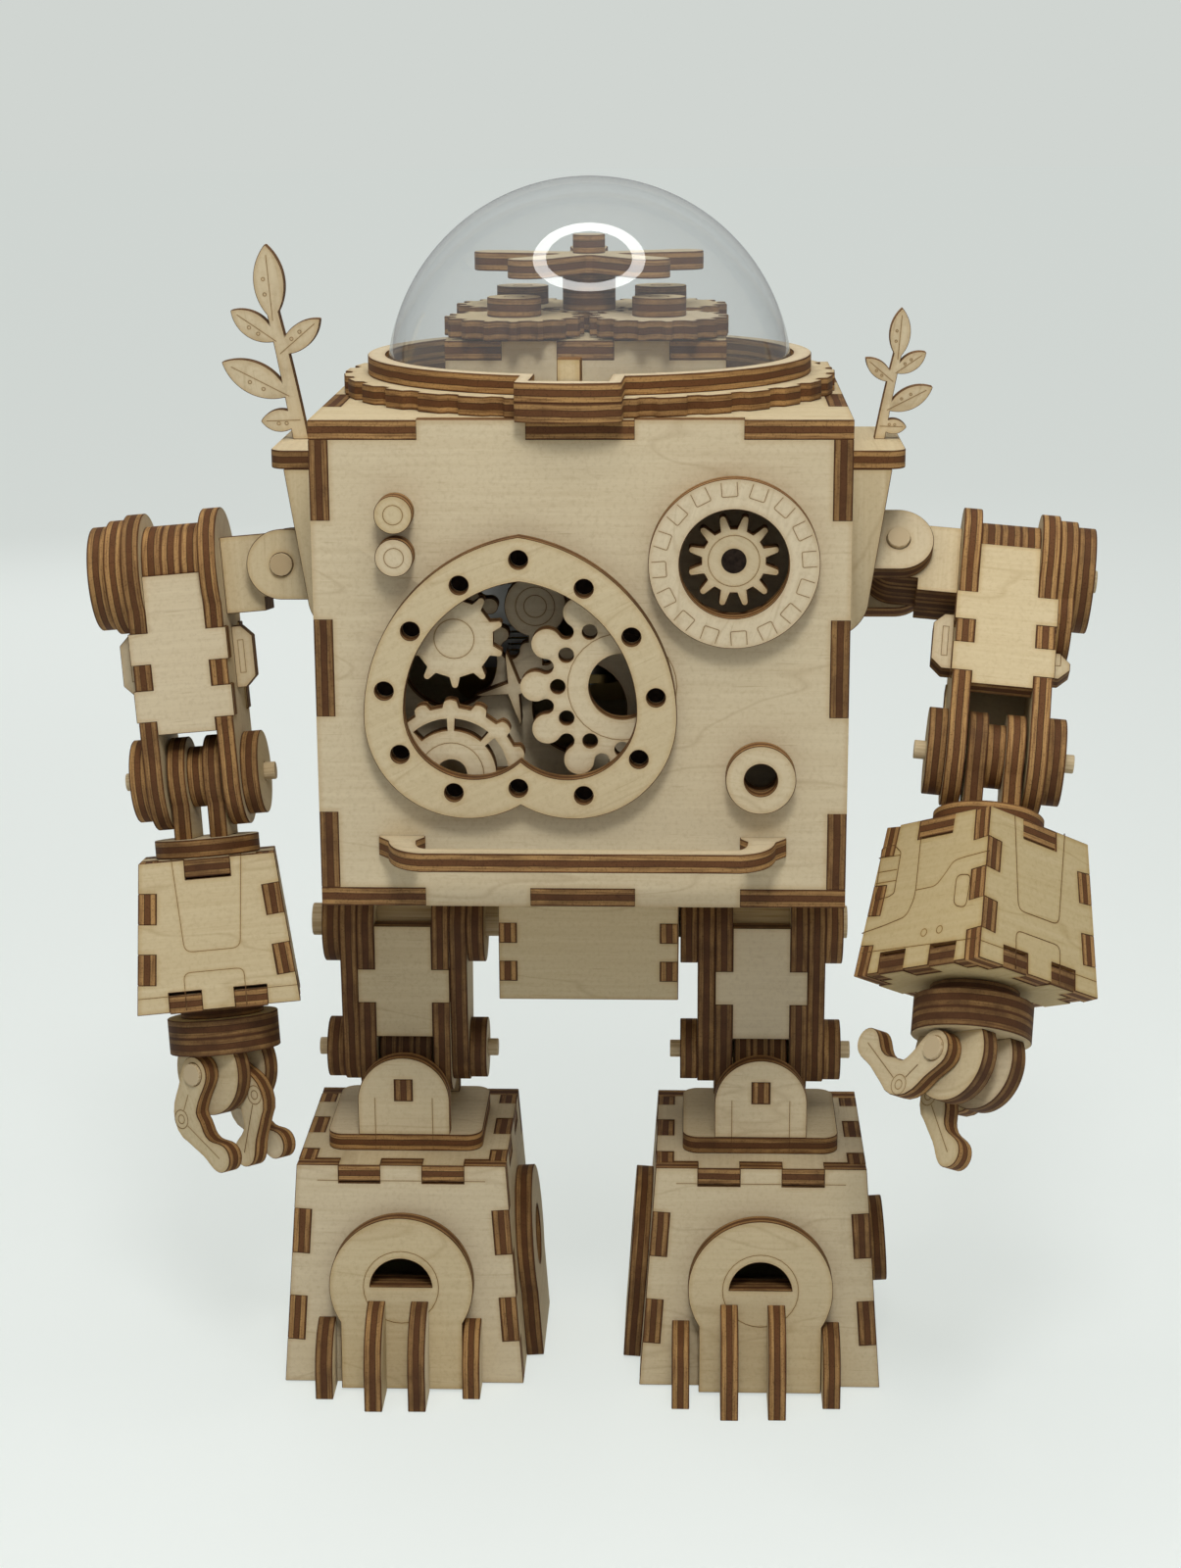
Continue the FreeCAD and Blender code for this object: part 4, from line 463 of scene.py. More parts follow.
plySheets = {
    "weld": 1e-6,
    "levelWithin": 0.4,
    "rim": 0.00011,
    "rimAngle": 40,
    "smoothAngle": 32,
    "rodRatio": 1.25,
    "flatCosine": 0.95,
    # elsewhere the grain follows a sheet's longest edge
    "grainAlong": {"body_front_plate": (1, 0, 0), "body_back_plate": (1, 0, 0), "body_top_plate": (1, 0, 0),
                   "body_bottom_plate": (1, 0, 0), "body_side_plates": (0, 1, 0), "brain_box_lid": (1, 0, 0)},
    # how burnt the cut edges are, 0 to 1 after the patches, where the photograph shows it; on the hand hubs and the
    # thighs the higher values are painted shade
    "burnAndShade": {"head_clamp_ring": (-0.25, -0.15), "head_gear_ring": (0.15, 0.20), "dial_ring": (-0.1, 0.0),
             "chest_buttons": (-0.1, 0.1), "port_washer": (-0.1, 0.0), "body_side_plates": (0.40, 0.50),
             "body_top_plate": (0.05, 0.15), "body_front_plate": (0.25, 0.35), "mouth_bar": (0.0, 0.1),
             "brain_gear_front_left": (0.3, 0.4), "brain_gear_front_right": (0.3, 0.4),
             # painted shade: the hand hubs' and thighs' edges are made darker for the shade they sit in
             "left_hand_hub": (0.50, 0.70), "right_hand_hub": (0.45, 0.65),
             "left_thigh_plates": (0.35, 0.60), "right_thigh_plates": (0.30, 0.60),
             "left_thigh_discs": (0.40, 0.60), "right_thigh_discs": (0.30, 0.55),
             "brain_gear_rear_left": (0.35, 0.45), "brain_gear_rear_right": (0.35, 0.45)},
    "burnElsewhere": (-0.05, 0.55),
    # tone of some sheets, 0 to 1 elsewhere: below 0 is yellower
    "tone": {"right_forearm_box": (-0.9, -0.6), "left_forearm_box": (-0.3, 0.1)},
    "toneElsewhere": (0, 1),
    # the way the sheets of a node face, where their shape doesn't tell it
    "facing": {"left_toes": (1, 0, 0), "right_toes": (1, 0, 0)},
}


def edgeRun(mesh, edge, across):
    run = mesh.vertices[edge.vertices[1]].co - mesh.vertices[edge.vertices[0]].co
    return run - across * run.dot(across)


def finishSolid(piece, nodeName):
    editAll(piece)
    bpy.ops.mesh.delete_loose()
    bpy.ops.mesh.select_all(action="SELECT")
    bpy.ops.mesh.remove_doubles(threshold=plySheets["weld"])
    bpy.ops.mesh.dissolve_limited(angle_limit=math.radians(plySheets["levelWithin"]))
    backToObject()
    mesh = piece.data
    across = Vector(plySheets["facing"].get(nodeName, sheetDirection(mesh)))
    heights = [vertex.co.dot(across) for vertex in mesh.vertices]
    base = min(heights)
    thickness = max(heights) - base
    longest = max(mesh.edges, key=lambda edge: edgeRun(mesh, edge, across).length)
    grain = edgeRun(mesh, longest, across).normalized()
    wanted = Vector(plySheets["grainAlong"].get(nodeName, grain))
    if abs(wanted.dot(across)) < 0.5:
        grain = (wanted - across * wanted.dot(across)).normalized()
    side = across.cross(grain)
    widths = [vertex.co.dot(side) for vertex in mesh.vertices]
    isRod = thickness > plySheets["rodRatio"] * (max(widths) - min(widths))
    bevel = piece.modifiers.new("rim", "BEVEL")
    bevel.width = plySheets["rim"]
    bevel.segments = 1
    bevel.limit_method = "ANGLE"
    bevel.angle_limit = math.radians(plySheets["rimAngle"])
    bevel.use_clamp_overlap = True
    bpy.ops.object.modifier_apply(modifier=bevel.name)
    mesh = piece.data
    mesh.materials.clear()
    for material in (basswood, scorched, dowelStock):
        mesh.materials.append(material)
    tone = mesh.attributes.new("tone", "FLOAT", "FACE")
    burnAndShade = mesh.attributes.new("burnAndShade", "FLOAT", "FACE")
    layers = max(1, round(thickness / sheetThickness))
    sheetTone = random.uniform(*plySheets["tone"].get(nodeName, plySheets["toneElsewhere"]))
    sheetBurnAndShade = random.uniform(*plySheets["burnAndShade"].get(nodeName, plySheets["burnElsewhere"]))
    shiftAlong = random.uniform(0, 2)
    shiftAcross = random.uniform(0, 2)
    sheetMap = mesh.uv_layers.new(name="sheet")
    for face in mesh.polygons:
        tone.data[face.index].value = sheetTone
        burnAndShade.data[face.index].value = sheetBurnAndShade
        isFlat = abs(face.normal.dot(across)) > plySheets["flatCosine"]
        face.material_index = 2 if isRod else (0 if isFlat else 1)
        tangent = across.cross(face.normal)
        for loop in face.loop_indices:
            spot = mesh.vertices[mesh.loops[loop].vertex_index].co
            if isRod:
                sheetMap.data[loop].uv = (spot.dot(tangent) + shiftAlong, spot.dot(across) + shiftAcross)
            elif isFlat:
                sheetMap.data[loop].uv = (spot.dot(grain) + shiftAlong, spot.dot(side) + shiftAcross)
            else:
                sheetMap.data[loop].uv = (spot.dot(tangent), (spot.dot(across) - base) / thickness * layers)


def dressNode(nodeName):
    solids = splitSolids(nodeName)
    for piece in list(solids):
        if isLeftOut(nodeName, piece.data):
            solids.remove(piece)
            bpy.data.objects.remove(piece)
    solids += [cutSheet(*shape) for shape in addedSheets.get(nodeName, [])]
    for piece in solids:
        finishSolid(piece, nodeName)
    whole = joinAll(solids)
    whole.name = nodeName + "_cut"
    selectOnly(whole)
    bpy.ops.object.shade_smooth_by_angle(angle=math.radians(plySheets["smoothAngle"]))
    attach(whole, bodyOf[nodeName])
    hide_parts(nodeName)
    return whole


# sheets that the frame has only roughly: cut here from the same plywood, with outlines in millimetres

mm = 0.001


def cutSheet(outline, carrier, thickness=sheetThickness):
    # the outline lies on the carrier's X and Y, and the thickness goes along its Z
    bpy.ops.object.select_all(action="DESELECT")
    bpy.ops.mesh.primitive_circle_add(vertices=len(outline), radius=0.01, fill_type="NGON")
    piece = bpy.context.object
    for vertex, (x, y) in zip(piece.data.vertices, outline):
        vertex.co = carrier @ Vector((x * mm, y * mm, 0))
    lift = carrier.to_3x3() @ Vector((0, 0, thickness))
    editAll(piece)
    bpy.ops.mesh.extrude_region_move(TRANSFORM_OT_translate={"value": lift})
    bpy.ops.mesh.select_all(action="SELECT")
    bpy.ops.mesh.normals_make_consistent(inside=False)
    backToObject()
    return piece


def carrierFrame(origin, right, up):
    right = Vector(right).normalized()
    up = Vector(up).normalized()
    turn = Matrix((right, up, right.cross(up))).transposed().to_4x4()
    return Matrix.Translation(Vector(origin)) @ turn


def arcThrough(start, middle, end, steps=8):
    start, middle, end = Vector(start), Vector(middle), Vector(end)
    pull = middle * 2 - (start + end) / 2
    return [tuple(start.lerp(pull, share).lerp(pull.lerp(end, share), share))
            for share in (step / steps for step in range(steps + 1))]


def ringOf(radius, centre=(0, 0), start=0, end=360, steps=32):
    count = steps if end - start >= 360 else steps + 1
    return [(centre[0] + radius * math.cos(math.radians(start + (end - start) * step / steps)),
             centre[1] + radius * math.sin(math.radians(start + (end - start) * step / steps)))
            for step in range(count)]


mouthBar = {"level": 0.1085, "wall": 0.044, "half": 34.0, "leg": 7.7, "neck": 4.7, "reach": 10.8, "back": 7.8,
            # the necks' place as a share of their width, each curve's middle as millimetres in and a share
            # of the reach, and the shares of the reach at the flare and the foot, outside and inside
            "neckPlace": 0.38, "outerBend": (1.9, 0.77), "innerBend": (0.6, 0.62), "innerEnd": 1.0,
            "flare": (0.3, 0.28), "foot": (0.08, 0.1)}


def mouthOutline():
    # seen from above, y towards the viewer
    look = mouthBar
    foot = look["half"] - look["leg"]
    outer = look["half"] - look["neckPlace"] * look["neck"]
    inner = outer - look["neck"]
    reach = look["reach"]
    (outerIn, outerUp), (innerIn, innerUp) = look["outerBend"], look["innerBend"]
    outerFlare, innerFlare = (share * reach for share in look["flare"])
    outerFoot, innerFoot = (share * reach for share in look["foot"])
    right = arcThrough((foot, reach), (outer - outerIn, outerUp * reach), (outer, outerFlare))
    right += [(look["half"], outerFoot), (look["half"], 0), (foot, 0), (foot, innerFoot)]
    innerEnd = (foot - look["innerEnd"], look["back"])
    right += arcThrough((inner, innerFlare), (inner - innerIn, innerUp * reach), innerEnd)
    return right + [(-x, y) for x, y in reversed(right)]


wings = {"inner": 11.15, "outer": 28.05, "reach": 3.6, "top": 10.4, "rightOuterTop": 16.3, "bottom": 21.5,
         "bevel": 1.9,
         # the burnt box round each wing's slot: its reach from the arm, half height and middle
         "mark": (0.9, 1.9), "markHalf": 2.95, "markMiddle": 15.9}
capTail = {"radius": 10.2, "end": 16.2, "half": 6.4, "shaft": 28.05}


def armCarrier(side):
    # the upper arm's own frame at its pivot: X along the elbow's pin, Y to the back, Z up
    prefix = sideName(side)
    lift = jointWith("name", prefix + "_arm_lift")
    right = -Vector(jointWith("name", prefix + "_elbow_bend")["axis"]).normalized()
    back = Vector(lift["axis"]).normalized()
    if back.y < 0:
        back = -back
    turn = Matrix((right, back, right.cross(back))).transposed().to_4x4()
    return Matrix.Translation(Vector(lift["pos_m"])) @ turn


def wingCarrier(side, back):
    # upright across the arm: X outwards, Y up, so far to the back
    return armCarrier(side) @ Matrix.Translation((0, back, 0)) @ Matrix.Rotation(math.radians(90), 4, "X")


def wingSheets(side):
    carrier = wingCarrier(side, sheetThickness / 2)
    sheets = []
    for start, way in ((wings["inner"], -1), (wings["outer"], 1)):
        top = -wings["rightOuterTop"] if side > 0 and way > 0 else -wings["top"]
        bottom, bevel = -wings["bottom"], wings["bevel"]
        far = start + way * wings["reach"]
        outline = [(start, top), (far - way * bevel, top), (far, top - bevel), (far, bottom + bevel),
                   (far - way * bevel, bottom), (start, bottom)]
        sheets.append(([(side * x, y) for x, y in outline], carrier))
    return sheets


def capWithTail(side):
    start = side * capTail["shaft"] * mm - (0 if side > 0 else sheetThickness)
    carrier = armCarrier(side) @ carrierFrame((start, 0, 0), (0, 1, 0), (0, 0, 1))
    radius, half = capTail["radius"], capTail["half"]
    middle = half - capTail["end"]
    meet = math.degrees(math.asin(half / radius)) - 90
    outline = ringOf(radius, (0, 0), meet, 180 - meet, 40) + ringOf(half, (0, middle), 180, 360, 20)
    return [(outline, carrier)]


# how far the fingers lean from straight down, and how much they bend at their middle
knuckles = {"left": {"outer": -27, "inner": 60, "bend": 80}, "right": {"outer": -54, "inner": -51, "bend": -80}}
fingerShape = {"first": 9.3, "second": 11.3, "cornerReach": 3.6, "bow": 0.8, "capHalf": 75,
               # share of the length and half the width there
               "widthStops": ((0, 3.2), (0.22, 2.8), (0.48, 3.05), (0.80, 1.75), (1, 2.6)),
               "firstShares": (0, 0.25, 0.5, 0.75),
               "cornerShares": (0, 0.17, 0.33, 0.5, 0.67, 0.83, 1),
               "secondShares": (0.15, 0.3, 0.45, 0.6, 0.72, 0.82, 0.91, 1),
               # where along the pin the sheets' faces lie, in metres from its middle
               "outerFaces": (0.0052, 0.0084), "innerHalf": 0.0016}


def fingerCarrier(prefix, which):
    # the hand's frame at the knuckle pin: place, X across, Y up, and the pin's way away from the viewer
    joint = jointWith("child", prefix + ("_outer_fingers" if which == "outer" else "_inner_finger"))
    up = Vector(jointWith("child", prefix + "_hand")["axis"]).normalized()
    depth = -Vector(joint["axis"]) if prefix == "left" else Vector(joint["axis"])
    depth = (depth - up * depth.dot(up)).normalized()
    return Vector(joint["pos_m"]), depth.cross(up), up, depth


def fingerBones(prefix, which):
    lean = math.radians(knuckles[prefix][which])
    bend = math.radians(knuckles[prefix]["bend"]) * (1 if which == "outer" else -1)
    elbow = Vector((math.sin(lean), -math.cos(lean))) * fingerShape["first"]
    toTip = Vector((math.sin(lean + bend), -math.cos(lean + bend)))
    return elbow, elbow + toTip * fingerShape["second"], toTip


def fingerOutline(prefix, which):
    # a smooth hook: a line from pivot to tip, rounded at the elbow, with a width that swells and narrows
    elbow, tip, toTip = fingerBones(prefix, which)
    look = fingerShape
    start = elbow - elbow.normalized() * look["cornerReach"]
    end = elbow + toTip * look["cornerReach"]
    outwards = (elbow - tip / 2).normalized() * look["bow"]
    line = [start * share for share in look["firstShares"]]
    line += [start.lerp(elbow, share).lerp(elbow.lerp(end, share), share) for share in look["cornerShares"]]
    line += [end.lerp(tip, share) + outwards * math.sin(math.pi * share) for share in look["secondShares"]]
    reach = [0.0]
    for before, after in zip(line, line[1:]):
        reach.append(reach[-1] + (after - before).length)
    stops = look["widthStops"]
    left, right = [], []
    for index, point in enumerate(line):
        along = (line[min(index + 1, len(line) - 1)] - line[max(index - 1, 0)]).normalized()
        share = reach[index] / reach[-1]
        step = max(number for number in range(len(stops) - 1) if stops[number][0] <= share)
        (first, wide), (second, nextWide) = stops[step], stops[step + 1]
        half = wide + (nextWide - wide) * (1 - math.cos(math.pi * (share - first) / (second - first))) / 2
        across = Vector((-along.y, along.x)) * half
        left.append(tuple(point + across))
        right.append(tuple(point - across))
    caps = []
    for end, before, radius in ((line[-1], line[-2], stops[-1][1]), (line[0], line[1], stops[0][1])):
        way = math.degrees(math.atan2(*reversed(end - before)))
        caps.append(ringOf(radius, tuple(end), way - look["capHalf"], way + look["capHalf"], 10))
    return right + caps[0] + left[::-1] + caps[1]


def fingerSheets(prefix, which):
    place, right, up, depth = fingerCarrier(prefix, which)
    near, far = fingerShape["outerFaces"]
    starts = (near, -far) if which == "outer" else (-fingerShape["innerHalf"],)
    # the carrier's Z runs against the depth, so each sheet is laid from its far side
    return [(fingerOutline(prefix, which), carrierFrame(place + depth * (start + sheetThickness), right, up))
            for start in starts]


mouthCarrier = carrierFrame((0, -mouthBar["wall"], mouthBar["level"] + sheetThickness), (1, 0, 0), (0, -1, 0))
addedSheets = {"mouth_bar": [(mouthOutline(), mouthCarrier)],
               "left_upper_arm_discs": wingSheets(-1),
               "right_upper_arm_discs": wingSheets(1) + capWithTail(1)}
for prefix in knuckles:
    addedSheets[prefix + "_outer_fingers"] = fingerSheets(prefix, "outer")
    addedSheets[prefix + "_inner_finger"] = fingerSheets(prefix, "inner")

# the plain stand-ins in the upper arm's own frame: height of the pads, reach and thickness of the cap
standIns = {"padHeights": (-0.030, -0.010), "capReach": 0.0102, "capThickness": 0.0035, "tolerance": 0.0002}


def isLeftOut(nodeName, mesh):
    # a plain stand-in gives way to its added sheet
    if nodeName == "mouth_bar" or "_finger" in nodeName:
        return True
    if nodeName not in addedSheets:
        return False
    side = -1 if nodeName.startswith("left") else 1
    away = armCarrier(side).inverted()
    corners = [away @ vertex.co for vertex in mesh.vertices]
    low = [min(corner[axis] for corner in corners) for axis in range(3)]
    high = [max(corner[axis] for corner in corners) for axis in range(3)]
    isPad = standIns["padHeights"][0] < low[2] and high[2] < standIns["padHeights"][1]
    isThin = high[0] - low[0] < standIns["capThickness"]
    isCap = side > 0 and isThin and abs(high[2] - standIns["capReach"]) < standIns["tolerance"]
    return isPad or isCap


bodyOf = {}
for bodyName, members in frame["record"]["behaviour"]["bodies"].items():
    for member in members:
        bodyOf[member] = bodyName

metalParts = {"winding_key": springSteel, "pin_cylinder": springSteel, "music_comb": springSteel,
              "movement_bedplate": movementBrass, "spring_barrel": movementBrass}
cutParts = {}
for nodeName in sorted(frame["nodes"]):
    node = frame["nodes"][nodeName]
    if nodeName in metalParts:
        node.data.materials.clear()
        node.data.materials.append(metalParts[nodeName])
    elif nodeName != "dome":
        cutParts[nodeName] = dressNode(nodeName)
print("plywood dressed:", len(cutParts))


# burnt lines of the laser, drawn on the sheets

burntLines = {"width": 0.00022, "proud": 0.00004}


def flatFrame(nodeName, facing, up=(0, 0, 1), centre=None, layer=None):
    # a plate's flat face that looks along facing: X to its right, Y up, origin at its lower middle or under
    # centre. Layer 0 is the outermost such face, 1 the next, and without a layer the largest is taken.
    towards, same, sameDepth, largeShare = 0.85, 0.9999, 3e-5, 0.2
    mesh = frame["nodes"][nodeName].data
    facing = Vector(facing).normalized()
    groups = []
    for face in mesh.polygons:
        if face.normal.dot(facing) < towards:
            continue
        depth = face.center.dot(face.normal)
        for group in groups:
            if group[0].dot(face.normal) > same and abs(group[1] - depth) < sameDepth:
                group[2] += face.area
                group[3].extend(face.vertices)
                break
        else:
            groups.append([face.normal.copy(), depth, face.area, list(face.vertices)])
    groups.sort(key=lambda group: -group[2])
    if layer is not None:
        large = [group for group in groups if group[2] > largeShare * groups[0][2]]
        groups = sorted(large, key=lambda group: -group[1])
    normal, depth, area, corners = groups[layer or 0]
    right = Vector(up).cross(normal).normalized()
    over = normal.cross(right)
    if centre is None:
        across = [mesh.vertices[index].co.dot(right) for index in corners]
        low = min(mesh.vertices[index].co.dot(over) for index in corners)
        centre = right * (min(across) + max(across)) / 2 + over * low
    origin = Vector(centre) + normal * (depth - Vector(centre).dot(normal))
    return carrierFrame(origin, right, over)


def roundCorners(points, radius, closed=False):
    bent = []
    for index, point in enumerate(points):
        here = Vector(point)
        if not closed and index in (0, len(points) - 1):
            bent.append(tuple(here))
            continue
        before, after = Vector(points[index - 1]), Vector(points[(index + 1) % len(points)])
        reach = min(radius, (before - here).length / 2, (after - here).length / 2)
        start = here + (before - here).normalized() * reach
        end = here + (after - here).normalized() * reach
        for share in (0, 0.25, 0.5, 0.75, 1):
            bent.append(tuple(start.lerp(here, share).lerp(here.lerp(end, share), share)))
    return bent


def burnLines(nodeName, drawings):
    # each drawing has its carrier, its points in millimetres and whether it closes
    bpy.ops.object.select_all(action="DESELECT")
    bpy.ops.curve.primitive_nurbs_path_add(location=(0, 0, 0))
    drawing = bpy.context.object
    curve = drawing.data
    curve.splines.clear()
    curve.dimensions = "3D"
    for carrier, points, closed in drawings:
        spline = curve.splines.new("POLY")
        spline.points.add(len(points) - 1)
        for knot, (x, y) in zip(spline.points, points):
            height = burntLines["proud"] - burntLines["width"] / 2
            knot.co = (*(carrier @ Vector((x * mm, y * mm, height))), 1)
        spline.use_cyclic_u = closed
    curve.bevel_depth = burntLines["width"] / 2
    curve.bevel_resolution = 0
    curve.use_fill_caps = True
    curve.materials.append(burntBrown)
    bpy.ops.object.convert(target="MESH")
    drawing = bpy.context.object
    editAll(drawing)
    bpy.ops.mesh.normals_make_consistent(inside=False)
    backToObject()
    joinAll([cutParts[nodeName], drawing])


front = (0, -1, 0)
holeFloor = {"radius": 1.5, "dialRadius": 2.05, "steps": 24, "thickness": 0.0002, "proud": 0.00003,
             "heart": [(0, 22.8), (-9.7, 18.6), (10.6, 18.1), (-17.8, 11), (18.3, 10.1), (-22.3, 1), (22.3, 0),
                       (-19.9, -9.7), (19.5, -10.4), (-11.1, -16.2), (-0.4, -15.4), (10.4, -16.6)],
             "heartCentre": (-10, 136.2)}


def paintHoleShade(nodeName, carrier, places, radius):
    # painted shade for the floor of a deep opening: a thin near-black cap over the sheet behind it
    lifted = carrier @ Matrix.Translation((0, 0, holeFloor["proud"] - holeFloor["thickness"]))
    caps = []
    for place in places:
        caps.append(cutSheet(ringOf(radius, place, steps=holeFloor["steps"]), lifted, holeFloor["thickness"]))
        caps[-1].data.materials.append(holeShadeBlack)
    joinAll([cutParts[nodeName]] + caps)


dialMarks = {"centre": (24.9, 158.3), "count": 16, "first": 4, "inner": 11.0, "outer": 13.3, "half": 1.28,
             "corner": 0.3}
# radius, centre over the floor and steps of each ring, in millimetres
frontRings = {"dial_gear": [(4.2, dialMarks["centre"], 32)],
              "chest_buttons": [(1.6, (-30.1, 159.4), 20), (1.6, (-30.1, 166.4), 20)],
              "body_front_plate": [(3.3, (-20.9, 145.3), 32), (5.4, (-21.7, 122.3), 32), (9.0, (6.7, 137.3), 32)],
              "inner_gear_plate": [(1.9, (-8.2, 148.4), 32), (3.3, (-8.2, 148.4), 32)]}
faces = {name: flatFrame(name, front, centre=(0, 0, 0)) for name in [*frontRings, "dial_ring"]}

dialX, dialY = dialMarks["centre"]
dial = faces["dial_ring"] @ Matrix.Translation((dialX * mm, dialY * mm, 0))
inner, outer, half = (dialMarks[name] for name in ("inner", "outer", "half"))
square = roundCorners([(outer, -half), (inner, -half), (inner, half), (outer, half)], dialMarks["corner"])
lines = []
for step in range(dialMarks["count"]):
    turn = math.radians(dialMarks["first"] + 360 / dialMarks["count"] * step)
    lines.append((dial @ Matrix.Rotation(turn, 4, "Z"), square, False))
burnLines("dial_ring", lines)
for nodeName, rings in frontRings.items():
    burnLines(nodeName, [(faces[nodeName], ringOf(radius, centre, steps=steps), True)
                         for radius, centre, steps in rings])

heartX, heartY = holeFloor["heartCentre"]
# painted shade: near-black caps in the heart's rivet holes and in the dial gear's middle opening
paintHoleShade("body_front_plate", faces["body_front_plate"], [(heartX + x, heartY + y) for x, y in holeFloor["heart"]],
             holeFloor["radius"])
paintHoleShade("dial_gear", faces["dial_gear"], [dialMarks["centre"]], holeFloor["dialRadius"])

# forearm walls: points and corner radius, over the wall's lower middle
panelLines = [([(-6.2, 27), (-5.2, 10.4), (4.6, 10.4), (6.1, 27)], 1.5),
              ([(-5.7, 0.2), (-5.7, 6.8), (4.9, 6.8), (4.9, 0.2)], 1.3),
              ([(-14.0, 2.9), (-5.7, 2.9)], 0), ([(4.9, 2.9), (14.0, 2.9)], 0)]
barLines = [([(-12.8, 21.2), (-7.7, 21.0)], 0), ([(-12.5, 18.5), (-7.9, 18.4)], 0),
            ([(-12.5, 16.5), (-7.6, 16.4)], 0),
            ([(-3.3, 23.7), (-2.6, 14.1), (-2.7, 12.2), (-3.9, 9.4), (-9.0, 8.4), (-14.0, 7.7)], 1.2),
            ([(-2.5, 13.9), (2.0, 14.0), (3.9, 16.1), (5.3, 18.0), (7.9, 18.3), (13.1, 18.6)], 1.0),
            ([(-13.4, 4.1), (13.4, 3.4)], 0)]
barShapes = [([(-12.4, 22.9), (-9.5, 23.1), (-7.6, 21.5), (-7.7, 14.1), (-8.9, 13.6), (-12.1, 13.4)], 0.4),
             ([(6.5, 15.3), (9.8, 14.9), (9.7, 9.1), (6.8, 9.9)], 1.2)]
barDots = [(0.67, (0.9, 5.9)), (0.67, (4.4, 6.0))]
bothWalls = {"panels": (0.67, -0.74, 0), "bars": (-0.74, -0.67, 0)}


def forearmLines(prefix, facing, pattern):
    up = Vector(jointWith("child", prefix + "_hand")["axis"])
    wall = flatFrame(prefix + "_forearm_box", facing, up if up.z > 0 else -up, layer=0)
    if pattern == "panels":
        return [(wall, roundCorners(points, radius), False) for points, radius in panelLines]
    return ([(wall, roundCorners(points, radius), False) for points, radius in barLines]
            + [(wall, roundCorners(points, radius, True), True) for points, radius in barShapes]
            + [(wall, ringOf(radius, centre, steps=12), True) for radius, centre in barDots])


burnLines("left_forearm_box", forearmLines("left", front, "panels"))
burnLines("right_forearm_box", [line for pattern, facing in bothWalls.items()
                                for line in forearmLines("right", facing, pattern)])

# the ring round the keyhole's half-moon, the line under the wall's top and the lines on the arches
footLines = {"ring": (6.9, (0, 19.7)), "level": 39.0, "half": 15.4, "arch": (0.4, 10.4), "archHalf": 5.3}
for side in (-1, 1):
    prefix = sideName(side)
    arm = wingCarrier(side, -sheetThickness / 2)
    boxes = []
    for start, way in ((wings["inner"], -1), (wings["outer"], 1)):
        near, far = (side * (start + way * mark) for mark in wings["mark"])
        low, high = -wings["markMiddle"] - wings["markHalf"], -wings["markMiddle"] + wings["markHalf"]
        boxes.append((arm, [(near, low), (far, low), (far, high), (near, high)], True))
    burnLines(prefix + "_upper_arm_discs", boxes)
    cover = flatFrame(prefix + "_foot_box", front, layer=0)
    wall = flatFrame(prefix + "_foot_box", front, layer=1)
    half, level = footLines["half"], footLines["level"]
    burnLines(prefix + "_foot_box", [(cover, ringOf(*footLines["ring"]), True),
                                     (wall, [(-half, level), (half, level)], False)])
    arch = flatFrame(prefix + "_ankle_block", front)
    burnLines(prefix + "_ankle_block", [(arch, [(x, height) for height in footLines["arch"]], False)
                                        for x in (-footLines["archHalf"], footLines["archHalf"])])

sprigFoot = {"across": 0.0506, "height": 0.1724, "scales": ((-1, 1.0), (1, 0.67)), "veinShare": 0.86,
             # small rings beside each vein
             "drops": (0.35, 0.55), "dropRadius": 0.3, "dropAside": 0.07}
# base and tip of each leaf
sprigVeins = [((4.9, 20.8), (5.9, 34)), ((4.4, 17.2), (12.3, 22.6)), ((3.8, 15.0), (-3.4, 21.1)),
              ((2.4, 7.6), (14.2, 13.6)), ((0.6, 3.4), (7.6, 3.2))]
for side, scale in sprigFoot["scales"]:
    name = sideName(side) + "_leaf_sprig"
    leaf = flatFrame(name, front, centre=(side * sprigFoot["across"], 0, sprigFoot["height"]))
    veins = []
    for base, tip in sprigVeins:
        start, end = (Vector((side * x * scale, y * scale)) for x, y in (base, tip))
        veins.append((leaf, [tuple(start), tuple(start.lerp(end, sprigFoot["veinShare"]))], False))
        beside = (end - start).orthogonal() * sprigFoot["dropAside"]
        radius = sprigFoot["dropRadius"] * scale
        veins += [(leaf, ringOf(radius, tuple(start.lerp(end, share) + beside), steps=8), True)
                  for share in sprigFoot["drops"]]
    burnLines(name, veins)

# rings round the elbow and the pin, and the ends of the lines between; the pin's dark ring is partly its cut and
# partly painted shade round the proud pin
fingerMarks = {"elbow": (1.7, 0.8), "pin": 2.1, "first": (0.45, 0.80), "second": 1.9}


def fingerLines(prefix, which):
    place, right, up, depth = fingerCarrier(prefix, which)
    elbow, tip, toTip = fingerBones(prefix, which)
    far = fingerShape["outerFaces"][1] if which == "outer" else fingerShape["innerHalf"]
    drawings = []
    for reach in (far, -far):
        way = 1 if reach < 0 else -1
        carrier = carrierFrame(place + depth * reach, right * way, up)
        middle = (elbow.x * way, elbow.y)
        first = [elbow * share for share in fingerMarks["first"]]
        second = [elbow + toTip * fingerMarks["second"], tip]
        drawings += [(carrier, ringOf(radius, middle, steps=16), True) for radius in fingerMarks["elbow"]]
        # the ring round the pin: partly the cut, partly painted shade of a proud pin
        drawings.append((carrier, ringOf(fingerMarks["pin"], steps=20), True))
        drawings += [(carrier, [(point.x * way, point.y) for point in line], False) for line in (first, second)]
    return drawings


